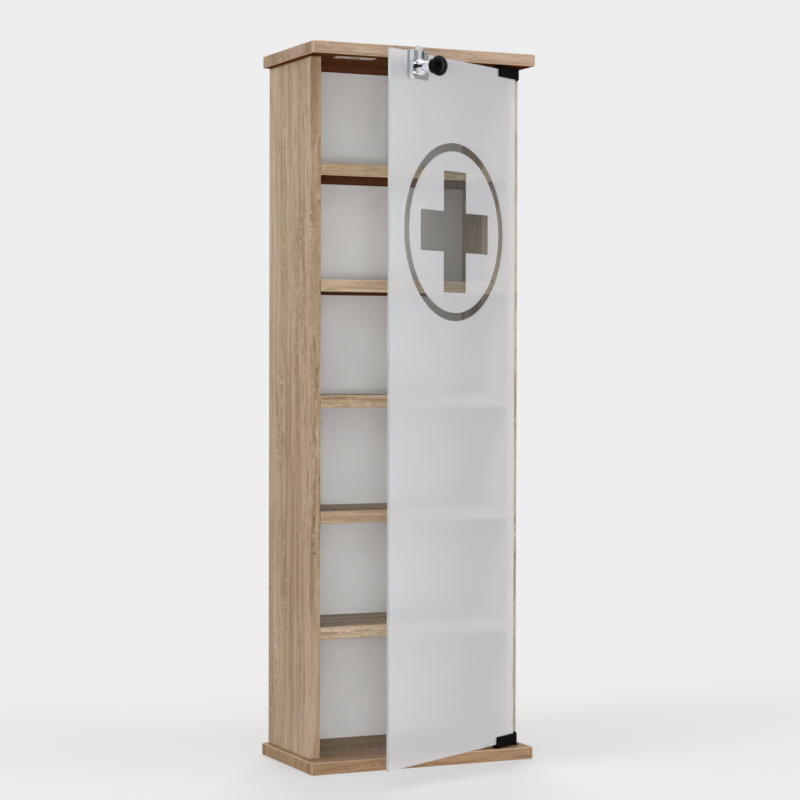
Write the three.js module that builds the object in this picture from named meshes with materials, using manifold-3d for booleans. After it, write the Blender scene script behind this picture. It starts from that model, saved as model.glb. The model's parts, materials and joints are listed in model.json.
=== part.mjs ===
// Tall narrow medicine cabinet with a hinged frosted glass door, in millimetres.
// +Z is up, +X is the cabinet's right seen from the front and +Y is its back.
// The origin is the centre of the base board's underside.

import * as THREE from 'three';
import { mergeVertices } from 'three/addons/utils/BufferGeometryUtils.js';
import Module from 'manifold-3d';

const wasm = await Module();
wasm.setup();

// Carcass
const BOARD_WIDTH = 320;
const BOARD_DEPTH = 175;
const BOARD_THICKNESS = 16;
const SIDE_OVERHANG = 9;
const FRONT_OVERHANG = 33;
const PANEL_HEIGHT = 908;
const PANEL_THICKNESS = 16;
const BACK_THICKNESS = 3;
const BACK_REBATE_WIDTH = 8;
const BACK_CLEARANCE = 0.5;

// Shelves and their pins
const SHELF_COUNT = 5;
const SHELF_THICKNESS = 16;
const LOWEST_CLEAR_HEIGHT = 153.5;
const HIGHEST_CLEAR_HEIGHT = 136.5;
const SHELF_SIDE_CLEARANCE = 0.5;
const SHELF_PIN_RADIUS = 2.5;
const SHELF_PIN_IN_PANEL = 8;
const SHELF_PIN_UNDER_SHELF = 8;
const SHELF_PIN_FROM_FRONT = 30;
const SHELF_PIN_FROM_BACK = 32;
const SHELF_PIN_CHAMFER = 0.6;

// Fittings that join the side panels to the boards
const CAM_RADIUS = 7.5;
const CAM_LENGTH = 12;
const CAM_FROM_END = 34;
const CAM_FROM_FRONT = 37;
const CAM_SLOT_LENGTH = 9;
const CAM_SLOT_WIDTH = 1.6;
const CAM_SLOT_DEPTH = 1.5;
const CAM_BOLT_RADIUS = 2.5;
const CAM_BOLT_HEAD_RADIUS = 3.2;
const CAM_BOLT_HEAD_LENGTH = 5;
const CAM_BOLT_IN_BOARD = 11;
const DOWEL_RADIUS = 4;
const DOWEL_IN_BOARD = 10;
const DOWEL_IN_PANEL = 20;
const DOWEL_FROM_BACK = 37;
const DOWEL_CHAMFER = 1;

// Door: a pane on pivot pins under the boards' front overhang
const DOOR_OPEN_ANGLE = 30.4;
const PANE_THICKNESS = 4;
const PIVOT_INSET = 5;
const PIVOT_FORWARD = 5.5;
const PIVOT_TO_PANE = 6.2;
const FREE_EDGE_INSET = 1.8;
const PANE_BOTTOM_GAP = 6;
const PANE_TOP_GAP = 6;

// Clear sign in the frosted face: a ring round an equal-armed cross
const SIGN_DROP = 221;
const RING_DIAMETER = 229;
const RING_WIDTH = 11;
const CROSS_SPAN = 156;
const CROSS_ARM_WIDTH = 52;
const SIGN_DEPTH = 0.4;

// Hinges
const CAP_REACH = 42;
const CAP_WALL = 2;
const CAP_GRIP = 10;
const CAP_BARREL_RADIUS = 2.6;
const CAP_BARREL_RISE = 1.2;
const HINGE_PIN_RADIUS = 1.6;
const HINGE_PIN_IN_CAP = 12;
const HINGE_PIN_IN_BOARD = 9;
const BUSH_RADIUS = 4;
const BUSH_DEPTH = 10;
const BUSH_FLANGE_RADIUS = 5.5;
const BUSH_FLANGE_THICKNESS = 0.7;
const HINGE_PLAY = 0.3;

// Latch, clamped over the pane's top edge
const LATCH_FROM_FREE_EDGE = 57;
const LATCH_WIDTH = 34.5;
const LATCH_HEIGHT = 37;
const LATCH_BRIDGE = 1.7;
const LATCH_BACK_WALL = 1.3;
const LATCH_FRONT_WALL = 1.7;
const LATCH_FLOOR = 1.2;
const LATCH_AXIS_DROP = 21;
const LATCH_WINDOW_RISE = 9;
const JAW_THICKNESS = 3;
const JAW_HEIGHT = 24;
const PAD_THICKNESS = 1.4;
const PAD_WIDTH = 20;
const PAD_HEIGHT = 14;
const PAD_DROP = 1;
const CLAMP_SCREW_RADIUS = 2.2;
const CLAMP_SCREW_PROUD = 1.2;
const CLAMP_SCREW_SLOT_WIDTH = 0.9;
const CLAMP_SCREW_SLOT_DEPTH = 0.8;

// Latch bolt and its crank
const BOLT_WIDTH = 13;
const BOLT_THICKNESS = 2.5;
const BOLT_BELOW_AXIS = 9;
const BOLT_PROUD = 6;
const CRANK_RADIUS = 3.6;
const CRANK_PIN_RADIUS = 1.2;
const CRANK_DISC_RADIUS = 5.3;
const CRANK_DISC_THICKNESS = 1.2;
const CRANK_REST_ANGLE = 45;
const CRANK_SLOT_PLAY = 0.45;

// Knob and the barrel that it stands on
const BARREL_FLANGE_RADIUS = 10.5;
const BARREL_FLANGE_THICKNESS = 1.5;
const BARREL_CONE_LENGTH = 4;
const BARREL_RADIUS = 7.6;
const BARREL_LENGTH = 16.5;
const SPINDLE_RADIUS = 3;
const SPINDLE_IN_KNOB = 10;
const KNOB_BASE_RADIUS = 9.2;
const KNOB_BASE_LENGTH = 6;
const KNOB_HEAD_RADIUS = 13;
const KNOB_HEAD_BACK = 4;
const KNOB_NECK_RADIUS = 12.2;
const KNOB_NECK_LENGTH = 0.9;
const KNOB_HEAD_DOME = 10;

// Strike plate under the top board
const STRIKE_LENGTH = 56;
const STRIKE_DEPTH = 18;
const STRIKE_THICKNESS = 1;
const STRIKE_SLOT_PLAY = 1.5;
const STRIKE_SCREW_SPACING = 40;
const STRIKE_POCKET_DEPTH = 6;
const SCREW_HEAD_RADIUS = 3;
const SCREW_HEAD_LENGTH = 0.9;
const SCREW_SHANK_RADIUS = 1.4;
const SCREW_LENGTH = 12;
const SCREW_TIP_LENGTH = 2.5;

// Clearance left round a piece that sits in a hole, slot or seat, and how far a cutter runs past a face
const FIT = 0.3;
const CUT_PAST = 1;

// Facets of round pieces
const SMALL_ROUND_SIDES = 12;
const PIN_SIDES = 16;
const KNOB_SIDES = 28;
const DOME_STEPS = 5;
const RING_SIDES = 64;

// Places worked out from the sizes above
const baseTop = BOARD_THICKNESS;
const topUnderside = baseTop + PANEL_HEIGHT;
const carcassHalf = BOARD_WIDTH / 2 - SIDE_OVERHANG;
const innerHalf = carcassHalf - PANEL_THICKNESS;
const panelMiddle = carcassHalf - PANEL_THICKNESS / 2;
const carcassFront = -BOARD_DEPTH / 2 + FRONT_OVERHANG;
const carcassBack = BOARD_DEPTH / 2;
const backFace = carcassBack - BACK_THICKNESS;
const camY = carcassFront + CAM_FROM_FRONT;
const dowelY = carcassBack - DOWEL_FROM_BACK;
const shelfPinRows = [carcassFront + SHELF_PIN_FROM_FRONT, carcassBack - SHELF_PIN_FROM_BACK];
const lowestShelfTop = baseTop + LOWEST_CLEAR_HEIGHT + SHELF_THICKNESS;
const highestShelfTop = topUnderside - HIGHEST_CLEAR_HEIGHT;
const shelfPitch = (highestShelfTop - lowestShelfTop) / (SHELF_COUNT - 1);
const shelfTops = Array.from({ length: SHELF_COUNT }, (_, level) => lowestShelfTop + level * shelfPitch);

const pivotX = carcassHalf - PIVOT_INSET;
const pivotY = carcassFront - PIVOT_FORWARD;
const paneHalf = PANE_THICKNESS / 2;
const paneWidth = 2 * carcassHalf - PIVOT_INSET - PIVOT_TO_PANE - FREE_EDGE_INSET;
const paneBottom = baseTop + PANE_BOTTOM_GAP;
const paneTop = topUnderside - PANE_TOP_GAP;
const paneMiddle = -(PIVOT_TO_PANE + paneWidth / 2);
const signHeight = paneTop - SIGN_DROP;

const latchX = -(PIVOT_TO_PANE + paneWidth - LATCH_FROM_FREE_EDGE);
const latchTop = paneTop + FIT + LATCH_BRIDGE;
const latchBottom = latchTop - LATCH_HEIGHT;
const latchAxis = latchTop - LATCH_AXIS_DROP;
const latchBack = -paneHalf - FIT;
const channelBack = latchBack - LATCH_BACK_WALL;
const boltMiddle = channelBack - FIT - BOLT_THICKNESS / 2;
const channelFront = channelBack - BOLT_THICKNESS - 2 * FIT;
const latchFront = channelFront - LATCH_FRONT_WALL;
const jawFace = paneHalf + FIT + PAD_THICKNESS + FIT;
const padMiddle = paneTop - PAD_DROP - PAD_HEIGHT / 2;
const barrelBack = latchFront - FIT;
const barrelFront = barrelBack - BARREL_LENGTH;
const knobBack = barrelFront - FIT;
const crankPinLift = CRANK_RADIUS * Math.sin(THREE.MathUtils.degToRad(CRANK_REST_ANGLE));
const crankPinNear = CRANK_RADIUS * Math.cos(THREE.MathUtils.degToRad(CRANK_REST_ANGLE));
const strikeX = pivotX + latchX;
const strikeY = pivotY + boltMiddle;

function material(color, roughness, metalness, opacity = 1) {
  return new THREE.MeshStandardMaterial({ color, roughness, metalness, opacity, transparent: opacity < 1 });
}

const oak = material(0xb89d7c, 0.6, 0);
const whiteBoard = material(0xdedcd6, 0.7, 0);
const frostedGlass = material(0xc9ccce, 0.55, 0, 0.8);
const blackPlastic = material(0x121212, 0.45, 0);
const chrome = material(0xd5d7d8, 0.12, 1);
const steel = material(0x9a9b9c, 0.35, 1);
const zinc = material(0xa9a8a4, 0.45, 1);
const beech = material(0xc9ab7f, 0.7, 0);
const padRubber = material(0x2a2a2a, 0.85, 0);

// A closed solid from a three.js geometry: shared corners merged, empty triangles on an axis dropped.
function solidOf(geometry) {
  const bare = geometry.clone();
  bare.deleteAttribute('normal');
  bare.deleteAttribute('uv');
  const merged = mergeVertices(bare, 1e-4);
  const corners = merged.index.array;
  const triVerts = [];
  for (let i = 0; i < corners.length; i += 3) {
    const [a, b, c] = [corners[i], corners[i + 1], corners[i + 2]];
    if (a !== b && b !== c && c !== a) triVerts.push(a, b, c);
  }
  return new wasm.Manifold(new wasm.Mesh({
    numProp: 3,
    vertProperties: Float32Array.from(merged.attributes.position.array),
    triVerts: Uint32Array.from(triVerts),
  }));
}

function geometryOf(solid) {
  const mesh = solid.getMesh();
  const geometry = new THREE.BufferGeometry();
  geometry.setAttribute('position', new THREE.BufferAttribute(mesh.vertProperties, 3));
  geometry.setIndex(new THREE.BufferAttribute(mesh.triVerts, 1));
  geometry.computeVertexNormals();
  return geometry;
}

function join(first, ...others) {
  return others.reduce((whole, next) => whole.add(next), first);
}

function cut(whole, cutters) {
  return cutters.reduce((rest, cutter) => rest.subtract(cutter), whole);
}

function box([x0, x1], [y0, y1], [z0, z1]) {
  const geometry = new THREE.BoxGeometry(Math.abs(x1 - x0), Math.abs(y1 - y0), Math.abs(z1 - z0));
  return solidOf(geometry.translate((x0 + x1) / 2, (y0 + y1) / 2, (z0 + z1) / 2));
}

// A turned solid: profile points are [radius, distance along the axis], and the axis starts at origin.
function turned(profile, sides, axis, origin) {
  const geometry = new THREE.LatheGeometry(profile.map(([r, h]) => new THREE.Vector2(r, h)), sides);
  const turn = new THREE.Quaternion().setFromUnitVectors(new THREE.Vector3(0, 1, 0), axis);
  geometry.applyQuaternion(turn).translate(...origin);
  return solidOf(geometry);
}

function rod(radius, [from, to], sides, axis, origin) {
  return turned([[0, from], [radius, from], [radius, to], [0, to]], sides, axis, origin);
}

function mesh(name, solid, finish) {
  const piece = new THREE.Mesh(geometryOf(solid), finish);
  piece.name = name;
  return piece;
}

const RIGHT = new THREE.Vector3(1, 0, 0);
const LEFT = new THREE.Vector3(-1, 0, 0);
const FORWARD = new THREE.Vector3(0, -1, 0);
const BACKWARD = new THREE.Vector3(0, 1, 0);
const UP = new THREE.Vector3(0, 0, 1);
const DOWN = new THREE.Vector3(0, 0, -1);

// The four places where a side panel's end meets a board: into points from the board into the panel.
const joints = [
  { name: 'left_base', side: -1, height: baseTop, into: UP },
  { name: 'right_base', side: 1, height: baseTop, into: UP },
  { name: 'left_top', side: -1, height: topUnderside, into: DOWN },
  { name: 'right_top', side: 1, height: topUnderside, into: DOWN },
];

// The two hinges: into points from the board towards the pane.
const hinges = [
  { name: 'lower', height: baseTop, paneEdge: paneBottom, into: UP },
  { name: 'upper', height: topUnderside, paneEdge: paneTop, into: DOWN },
];

function jointHoles(joint) {
  const x = joint.side * panelMiddle;
  const boltReach = CAM_FROM_END + CAM_BOLT_HEAD_LENGTH / 2 + FIT;
  return [
    rod(CAM_BOLT_HEAD_RADIUS + FIT, [-CAM_BOLT_IN_BOARD - FIT, boltReach], SMALL_ROUND_SIDES, joint.into,
      [x, camY, joint.height]),
    rod(DOWEL_RADIUS + FIT, [-DOWEL_IN_BOARD - FIT, DOWEL_IN_PANEL + FIT], SMALL_ROUND_SIDES, joint.into,
      [x, dowelY, joint.height]),
  ];
}

function bushHole(hinge) {
  return rod(BUSH_RADIUS + FIT, [-BUSH_DEPTH - FIT, CUT_PAST], PIN_SIDES, hinge.into,
    [pivotX, pivotY, hinge.height]);
}

function boardBlank(bottom) {
  return box([-BOARD_WIDTH / 2, BOARD_WIDTH / 2], [-BOARD_DEPTH / 2, carcassBack],
    [bottom, bottom + BOARD_THICKNESS]);
}

function baseBoard() {
  const [lower] = hinges;
  const holes = joints.filter((joint) => joint.height === baseTop).flatMap(jointHoles);
  return cut(boardBlank(0), [...holes, bushHole(lower)]);
}

function topBoard() {
  const [, upper] = hinges;
  const holes = joints.filter((joint) => joint.height === topUnderside).flatMap(jointHoles);
  const boltPocket = strikeSlot([topUnderside - CUT_PAST, topUnderside + STRIKE_POCKET_DEPTH]);
  const screwHoles = strikeScrewPlaces().map((place) => rod(SCREW_SHANK_RADIUS + FIT,
    [0, SCREW_LENGTH + FIT], SMALL_ROUND_SIDES, UP, place));
  return cut(boardBlank(topUnderside), [...holes, bushHole(upper), boltPocket, ...screwHoles]);
}

function shelfPinHeight(shelfTop) {
  return shelfTop - SHELF_THICKNESS - SHELF_PIN_RADIUS - FIT / 2;
}

function sidePanel(side) {
  const outward = side > 0 ? RIGHT : LEFT;
  const blank = box([side * innerHalf, side * carcassHalf], [carcassFront, carcassBack],
    [baseTop, topUnderside]);
  const rebate = box([side * (innerHalf - CUT_PAST), side * (innerHalf + BACK_REBATE_WIDTH)],
    [backFace, carcassBack + CUT_PAST], [baseTop - CUT_PAST, topUnderside + CUT_PAST]);
  const ownJoints = joints.filter((joint) => joint.side === side);
  const camPockets = ownJoints.map((joint) => rod(CAM_RADIUS + FIT, [-CUT_PAST, CAM_LENGTH + FIT],
    PIN_SIDES, outward, [side * innerHalf, camY, joint.height + joint.into.z * CAM_FROM_END]));
  const pinHoles = shelfTops.flatMap((top) => shelfPinRows.map((y) => rod(SHELF_PIN_RADIUS + FIT,
    [-CUT_PAST, SHELF_PIN_IN_PANEL + FIT], SMALL_ROUND_SIDES, outward,
    [side * innerHalf, y, shelfPinHeight(top)])));
  return cut(blank, [rebate, ...ownJoints.flatMap(jointHoles), ...camPockets, ...pinHoles]);
}

function backPanel() {
  const half = innerHalf + BACK_REBATE_WIDTH - BACK_CLEARANCE;
  return box([-half, half], [backFace, carcassBack], [baseTop, topUnderside - BACK_CLEARANCE]);
}

function shelf(top) {
  const half = innerHalf - SHELF_SIDE_CLEARANCE;
  return box([-half, half], [carcassFront, backFace - BACK_CLEARANCE], [top - SHELF_THICKNESS, top]);
}

function shelfPin(top, side, y) {
  const outward = side > 0 ? RIGHT : LEFT;
  const tip = SHELF_PIN_RADIUS - SHELF_PIN_CHAMFER;
  const profile = [
    [0, -SHELF_PIN_UNDER_SHELF],
    [tip, -SHELF_PIN_UNDER_SHELF],
    [SHELF_PIN_RADIUS, SHELF_PIN_CHAMFER - SHELF_PIN_UNDER_SHELF],
    [SHELF_PIN_RADIUS, SHELF_PIN_IN_PANEL],
    [0, SHELF_PIN_IN_PANEL],
  ];
  return turned(profile, SMALL_ROUND_SIDES, outward, [side * innerHalf, y, shelfPinHeight(top)]);
}

// A cam turns in the panel's inner face: a bore takes the bolt's head, a cross slot takes the screwdriver.
function camLock(joint) {
  const outward = joint.side > 0 ? RIGHT : LEFT;
  const centre = [joint.side * innerHalf, camY, joint.height + joint.into.z * CAM_FROM_END];
  const [x, y, z] = centre;
  const slotX = [x - CUT_PAST * joint.side, x + CAM_SLOT_DEPTH * joint.side];
  const long = CAM_SLOT_LENGTH / 2;
  const short = CAM_SLOT_WIDTH / 2;
  const headBore = rod(CAM_BOLT_HEAD_RADIUS + FIT, [0, CAM_FROM_END + CAM_BOLT_HEAD_LENGTH / 2 + FIT],
    SMALL_ROUND_SIDES, joint.into, [joint.side * panelMiddle, camY, joint.height]);
  return cut(rod(CAM_RADIUS, [0, CAM_LENGTH], PIN_SIDES, outward, centre), [
    headBore,
    box(slotX, [y - long, y + long], [z - short, z + short]),
    box(slotX, [y - short, y + short], [z - long, z + long]),
  ]);
}

function camBolt(joint) {
  const headStart = CAM_FROM_END - CAM_BOLT_HEAD_LENGTH / 2;
  const headEnd = CAM_FROM_END + CAM_BOLT_HEAD_LENGTH / 2;
  const profile = [
    [0, -CAM_BOLT_IN_BOARD],
    [CAM_BOLT_HEAD_RADIUS, -CAM_BOLT_IN_BOARD],
    [CAM_BOLT_HEAD_RADIUS, 0],
    [CAM_BOLT_RADIUS, 0],
    [CAM_BOLT_RADIUS, headStart],
    [CAM_BOLT_HEAD_RADIUS, headStart],
    [CAM_BOLT_HEAD_RADIUS, headEnd],
    [0, headEnd],
  ];
  return turned(profile, SMALL_ROUND_SIDES, joint.into, [joint.side * panelMiddle, camY, joint.height]);
}

function dowel(joint) {
  const end = DOWEL_RADIUS - DOWEL_CHAMFER;
  const profile = [
    [0, -DOWEL_IN_BOARD],
    [end, -DOWEL_IN_BOARD],
    [DOWEL_RADIUS, DOWEL_CHAMFER - DOWEL_IN_BOARD],
    [DOWEL_RADIUS, DOWEL_IN_PANEL - DOWEL_CHAMFER],
    [end, DOWEL_IN_PANEL],
    [0, DOWEL_IN_PANEL],
  ];
  return turned(profile, SMALL_ROUND_SIDES, joint.into, [joint.side * panelMiddle, dowelY, joint.height]);
}

function hingeBush(hinge) {
  const bore = HINGE_PIN_RADIUS + FIT;
  const profile = [
    [bore, -BUSH_DEPTH],
    [BUSH_RADIUS, -BUSH_DEPTH],
    [BUSH_RADIUS, 0],
    [BUSH_FLANGE_RADIUS, 0],
    [BUSH_FLANGE_RADIUS, BUSH_FLANGE_THICKNESS],
    [bore, BUSH_FLANGE_THICKNESS],
    [bore, -BUSH_DEPTH],
  ];
  return turned(profile, PIN_SIDES, hinge.into, [pivotX, pivotY, hinge.height]);
}

// The slot in the strike plate and the pocket above it share one outline, in line with the shut door's bolt.
function strikeSlot(heights) {
  const halfLength = BOLT_WIDTH / 2 + STRIKE_SLOT_PLAY;
  const halfDepth = BOLT_THICKNESS / 2 + STRIKE_SLOT_PLAY;
  return box([strikeX - halfLength, strikeX + halfLength], [strikeY - halfDepth, strikeY + halfDepth],
    heights);
}

function strikeScrewPlaces() {
  const height = topUnderside - STRIKE_THICKNESS;
  return [-1, 1].map((end) => [strikeX + end * STRIKE_SCREW_SPACING / 2, strikeY, height]);
}

function strikePlate() {
  const heights = [topUnderside - STRIKE_THICKNESS, topUnderside];
  const plate = box([strikeX - STRIKE_LENGTH / 2, strikeX + STRIKE_LENGTH / 2],
    [strikeY - STRIKE_DEPTH / 2, strikeY + STRIKE_DEPTH / 2], heights);
  const sink = [
    [0, -CUT_PAST],
    [SCREW_HEAD_RADIUS + FIT, -CUT_PAST],
    [SCREW_HEAD_RADIUS + FIT, 0],
    [SCREW_SHANK_RADIUS + FIT, SCREW_HEAD_LENGTH],
    [SCREW_SHANK_RADIUS + FIT, STRIKE_THICKNESS + CUT_PAST],
    [0, STRIKE_THICKNESS + CUT_PAST],
  ];
  const sinks = strikeScrewPlaces().map((place) => turned(sink, SMALL_ROUND_SIDES, UP, place));
  return cut(plate, [strikeSlot([heights[0] - CUT_PAST, heights[1] + CUT_PAST]), ...sinks]);
}

function strikeScrew(place) {
  const profile = [
    [0, 0],
    [SCREW_HEAD_RADIUS, 0],
    [SCREW_SHANK_RADIUS, SCREW_HEAD_LENGTH],
    [SCREW_SHANK_RADIUS, SCREW_LENGTH - SCREW_TIP_LENGTH],
    [0, SCREW_LENGTH],
  ];
  return turned(profile, SMALL_ROUND_SIDES, UP, place);
}

// Door pieces are drawn with the door shut, from the pivot axis, and the door's group turns them open.

function flatSign(shape, depth) {
  const options = { depth, bevelEnabled: false, curveSegments: RING_SIDES };
  const geometry = new THREE.ExtrudeGeometry(shape, options);
  return solidOf(geometry.rotateX(Math.PI / 2).translate(paneMiddle, SIGN_DEPTH - paneHalf, signHeight));
}

function ringShape() {
  const ring = new THREE.Shape();
  ring.absarc(0, 0, RING_DIAMETER / 2, 0, 2 * Math.PI);
  const inside = new THREE.Path();
  inside.absarc(0, 0, RING_DIAMETER / 2 - RING_WIDTH, 0, 2 * Math.PI, true);
  ring.holes.push(inside);
  return ring;
}

function crossShape() {
  const reach = CROSS_SPAN / 2;
  const arm = CROSS_ARM_WIDTH / 2;
  const quarter = [[reach, -arm], [reach, arm], [arm, arm]];
  const corners = [0, 1, 2, 3].flatMap((turn) => quarter.map(([x, y]) => new THREE.Vector2(x, y)
    .rotateAround(new THREE.Vector2(), turn * Math.PI / 2)));
  return new THREE.Shape(corners);
}

function doorGlass() {
  const pane = box([-PIVOT_TO_PANE - paneWidth, -PIVOT_TO_PANE], [-paneHalf, paneHalf],
    [paneBottom, paneTop]);
  const depth = SIGN_DEPTH + CUT_PAST;
  return cut(pane, [flatSign(ringShape(), depth), flatSign(crossShape(), depth)]);
}

// A cap is a channel over the pane's corner, on a foot that stands just clear of the board, with an upright
// barrel for the hinge pin at its end.
function hingeCap(hinge) {
  const toPane = hinge.into.z;
  const outer = paneHalf + FIT + CAP_WALL;
  const seat = hinge.paneEdge - toPane * FIT;
  const start = BUSH_FLANGE_THICKNESS + HINGE_PLAY;
  const arm = box([-PIVOT_TO_PANE - CAP_REACH, 0], [-outer, outer],
    [hinge.height + toPane * start, hinge.paneEdge + toPane * CAP_GRIP]);
  const barrelEnd = Math.abs(hinge.paneEdge - hinge.height) + CAP_GRIP + CAP_BARREL_RISE;
  const barrel = turned([
    [0, start],
    [CAP_BARREL_RADIUS, start],
    [CAP_BARREL_RADIUS, barrelEnd - CAP_BARREL_RISE],
    [CAP_BARREL_RADIUS * Math.SQRT1_2, barrelEnd - CAP_BARREL_RISE * (1 - Math.SQRT1_2)],
    [0, barrelEnd],
  ], PIN_SIDES, hinge.into, [0, 0, hinge.height]);
  const paneSlot = box([-PIVOT_TO_PANE - CAP_REACH - CUT_PAST, FIT - PIVOT_TO_PANE],
    [-paneHalf - FIT, paneHalf + FIT], [seat, hinge.paneEdge + toPane * (CAP_GRIP + CUT_PAST)]);
  const pinBore = rod(HINGE_PIN_RADIUS + FIT / 2, [0, start + HINGE_PIN_IN_CAP + FIT], PIN_SIDES,
    hinge.into, [0, 0, hinge.height]);
  return cut(join(arm, barrel), [paneSlot, pinBore]);
}

function hingePin(hinge) {
  const end = BUSH_FLANGE_THICKNESS + HINGE_PLAY + HINGE_PIN_IN_CAP;
  return rod(HINGE_PIN_RADIUS, [-HINGE_PIN_IN_BOARD, end], PIN_SIDES, hinge.into, [0, 0, hinge.height]);
}

function acrossLatch(width) {
  return [latchX - width / 2, latchX + width / 2];
}

// The latch body is a U over the pane's top edge: a hollow front block with a window that shows the bolt
// above the barrel, a bridge and a clamping jaw behind.
function latchBody() {
  const front = box(acrossLatch(LATCH_WIDTH), [latchFront, latchBack], [latchBottom, latchTop]);
  const bridge = box(acrossLatch(LATCH_WIDTH), [latchFront, jawFace + JAW_THICKNESS],
    [latchTop - LATCH_BRIDGE, latchTop]);
  const jaw = box(acrossLatch(LATCH_WIDTH), [jawFace, jawFace + JAW_THICKNESS],
    [latchTop - JAW_HEIGHT, latchTop]);
  const boltChannel = box(acrossLatch(BOLT_WIDTH + 2 * FIT), [channelFront, channelBack],
    [latchBottom + LATCH_FLOOR, latchTop + CUT_PAST]);
  const boltWindow = box(acrossLatch(BOLT_WIDTH + 2 * FIT), [latchFront - CUT_PAST, channelFront + FIT],
    [latchAxis + LATCH_WINDOW_RISE, latchTop + CUT_PAST]);
  const crankBore = rod(CRANK_DISC_RADIUS + FIT, [-CUT_PAST, LATCH_FRONT_WALL + CUT_PAST], PIN_SIDES, FORWARD,
    [latchX, channelFront, latchAxis]);
  const screwHole = rod(CLAMP_SCREW_RADIUS + FIT, [-CUT_PAST, JAW_THICKNESS + CUT_PAST],
    SMALL_ROUND_SIDES, BACKWARD, [latchX, jawFace, padMiddle]);
  return cut(join(front, bridge, jaw), [boltChannel, boltWindow, crankBore, screwHole]);
}

function clampPad() {
  return box(acrossLatch(PAD_WIDTH), [paneHalf + FIT, paneHalf + FIT + PAD_THICKNESS],
    [padMiddle - PAD_HEIGHT / 2, padMiddle + PAD_HEIGHT / 2]);
}

function clampScrew() {
  const length = JAW_THICKNESS + CLAMP_SCREW_PROUD;
  const slotHalf = CLAMP_SCREW_SLOT_WIDTH / 2;
  const slot = box(acrossLatch(2 * CLAMP_SCREW_RADIUS + CUT_PAST),
    [jawFace + length - CLAMP_SCREW_SLOT_DEPTH, jawFace + length + CUT_PAST],
    [padMiddle - slotHalf, padMiddle + slotHalf]);
  const shank = rod(CLAMP_SCREW_RADIUS, [0, length], SMALL_ROUND_SIDES, BACKWARD,
    [latchX, jawFace, padMiddle]);
  return cut(shank, [slot]);
}

// The bolt is a flat bar with a cross slot for the crank pin, which stands up and to the free side at rest.
function latchBolt() {
  const bar = box(acrossLatch(BOLT_WIDTH), [boltMiddle - BOLT_THICKNESS / 2, boltMiddle + BOLT_THICKNESS / 2],
    [latchAxis - BOLT_BELOW_AXIS, latchTop + BOLT_PROUD]);
  const reach = CRANK_PIN_RADIUS + CRANK_SLOT_PLAY;
  const slot = box([latchX - CRANK_RADIUS - reach, latchX - crankPinNear + reach],
    [boltMiddle - BOLT_THICKNESS, boltMiddle + BOLT_THICKNESS],
    [latchAxis + crankPinLift - reach, latchAxis + crankPinLift + reach]);
  return cut(bar, [slot]);
}

function latchBarrel() {
  const bore = SPINDLE_RADIUS + FIT;
  const profile = [
    [bore, 0],
    [BARREL_FLANGE_RADIUS, 0],
    [BARREL_FLANGE_RADIUS, BARREL_FLANGE_THICKNESS],
    [BARREL_RADIUS, BARREL_FLANGE_THICKNESS + BARREL_CONE_LENGTH],
    [BARREL_RADIUS, BARREL_LENGTH],
    [bore, BARREL_LENGTH],
    [bore, 0],
  ];
  return turned(profile, KNOB_SIDES, FORWARD, [latchX, barrelBack, latchAxis]);
}

// The spindle carries the crank disc in the latch's front wall and the crank pin through the bolt's slot.
function knobSpindle() {
  const discBack = channelFront - FIT / 2;
  const length = discBack - knobBack + SPINDLE_IN_KNOB;
  const shaft = turned([
    [0, 0],
    [CRANK_DISC_RADIUS, 0],
    [CRANK_DISC_RADIUS, CRANK_DISC_THICKNESS],
    [SPINDLE_RADIUS, CRANK_DISC_THICKNESS],
    [SPINDLE_RADIUS, length],
    [0, length],
  ], PIN_SIDES, FORWARD, [latchX, discBack, latchAxis]);
  const pinReach = discBack - channelBack + FIT;
  const pin = rod(CRANK_PIN_RADIUS, [pinReach, CRANK_DISC_THICKNESS / 2], SMALL_ROUND_SIDES, FORWARD,
    [latchX - crankPinNear, discBack, latchAxis + crankPinLift]);
  return join(shaft, pin);
}

// Mushroom knob: a short base, a flaring underside and a domed head.
function knob() {
  const bore = SPINDLE_RADIUS + FIT;
  const boreEnd = SPINDLE_IN_KNOB + FIT;
  const rim = KNOB_BASE_LENGTH + KNOB_HEAD_BACK;
  const dome = Array.from({ length: DOME_STEPS + 1 }, (_, step) => {
    const angle = (step / DOME_STEPS) * Math.PI / 2;
    return [KNOB_HEAD_RADIUS * Math.cos(angle), rim + KNOB_HEAD_DOME * Math.sin(angle)];
  });
  dome[DOME_STEPS][0] = 0;
  const profile = [
    [0, boreEnd],
    [bore, boreEnd],
    [bore, 0],
    [KNOB_BASE_RADIUS, 0],
    [KNOB_BASE_RADIUS, KNOB_BASE_LENGTH],
    [KNOB_NECK_RADIUS, KNOB_BASE_LENGTH + KNOB_NECK_LENGTH],
    ...dome,
  ];
  return turned(profile, KNOB_SIDES, FORWARD, [latchX, knobBack, latchAxis]);
}

function carcass() {
  const group = new THREE.Group();
  group.add(
    mesh('base_board', baseBoard(), oak),
    mesh('top_board', topBoard(), oak),
    mesh('left_side_panel', sidePanel(-1), oak),
    mesh('right_side_panel', sidePanel(1), oak),
    mesh('back_panel', backPanel(), whiteBoard),
  );
  joints.forEach((joint) => group.add(
    mesh(`cam_lock_${joint.name}`, camLock(joint), zinc),
    mesh(`cam_bolt_${joint.name}`, camBolt(joint), steel),
    mesh(`dowel_${joint.name}`, dowel(joint), beech),
  ));
  hinges.forEach((hinge) => group.add(mesh(`${hinge.name}_hinge_bush`, hingeBush(hinge), blackPlastic)));
  group.add(mesh('strike_plate', strikePlate(), zinc));
  strikeScrewPlaces().forEach((place, index) => group.add(
    mesh(`strike_screw_${index + 1}`, strikeScrew(place), steel)));
  return group;
}

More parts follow.
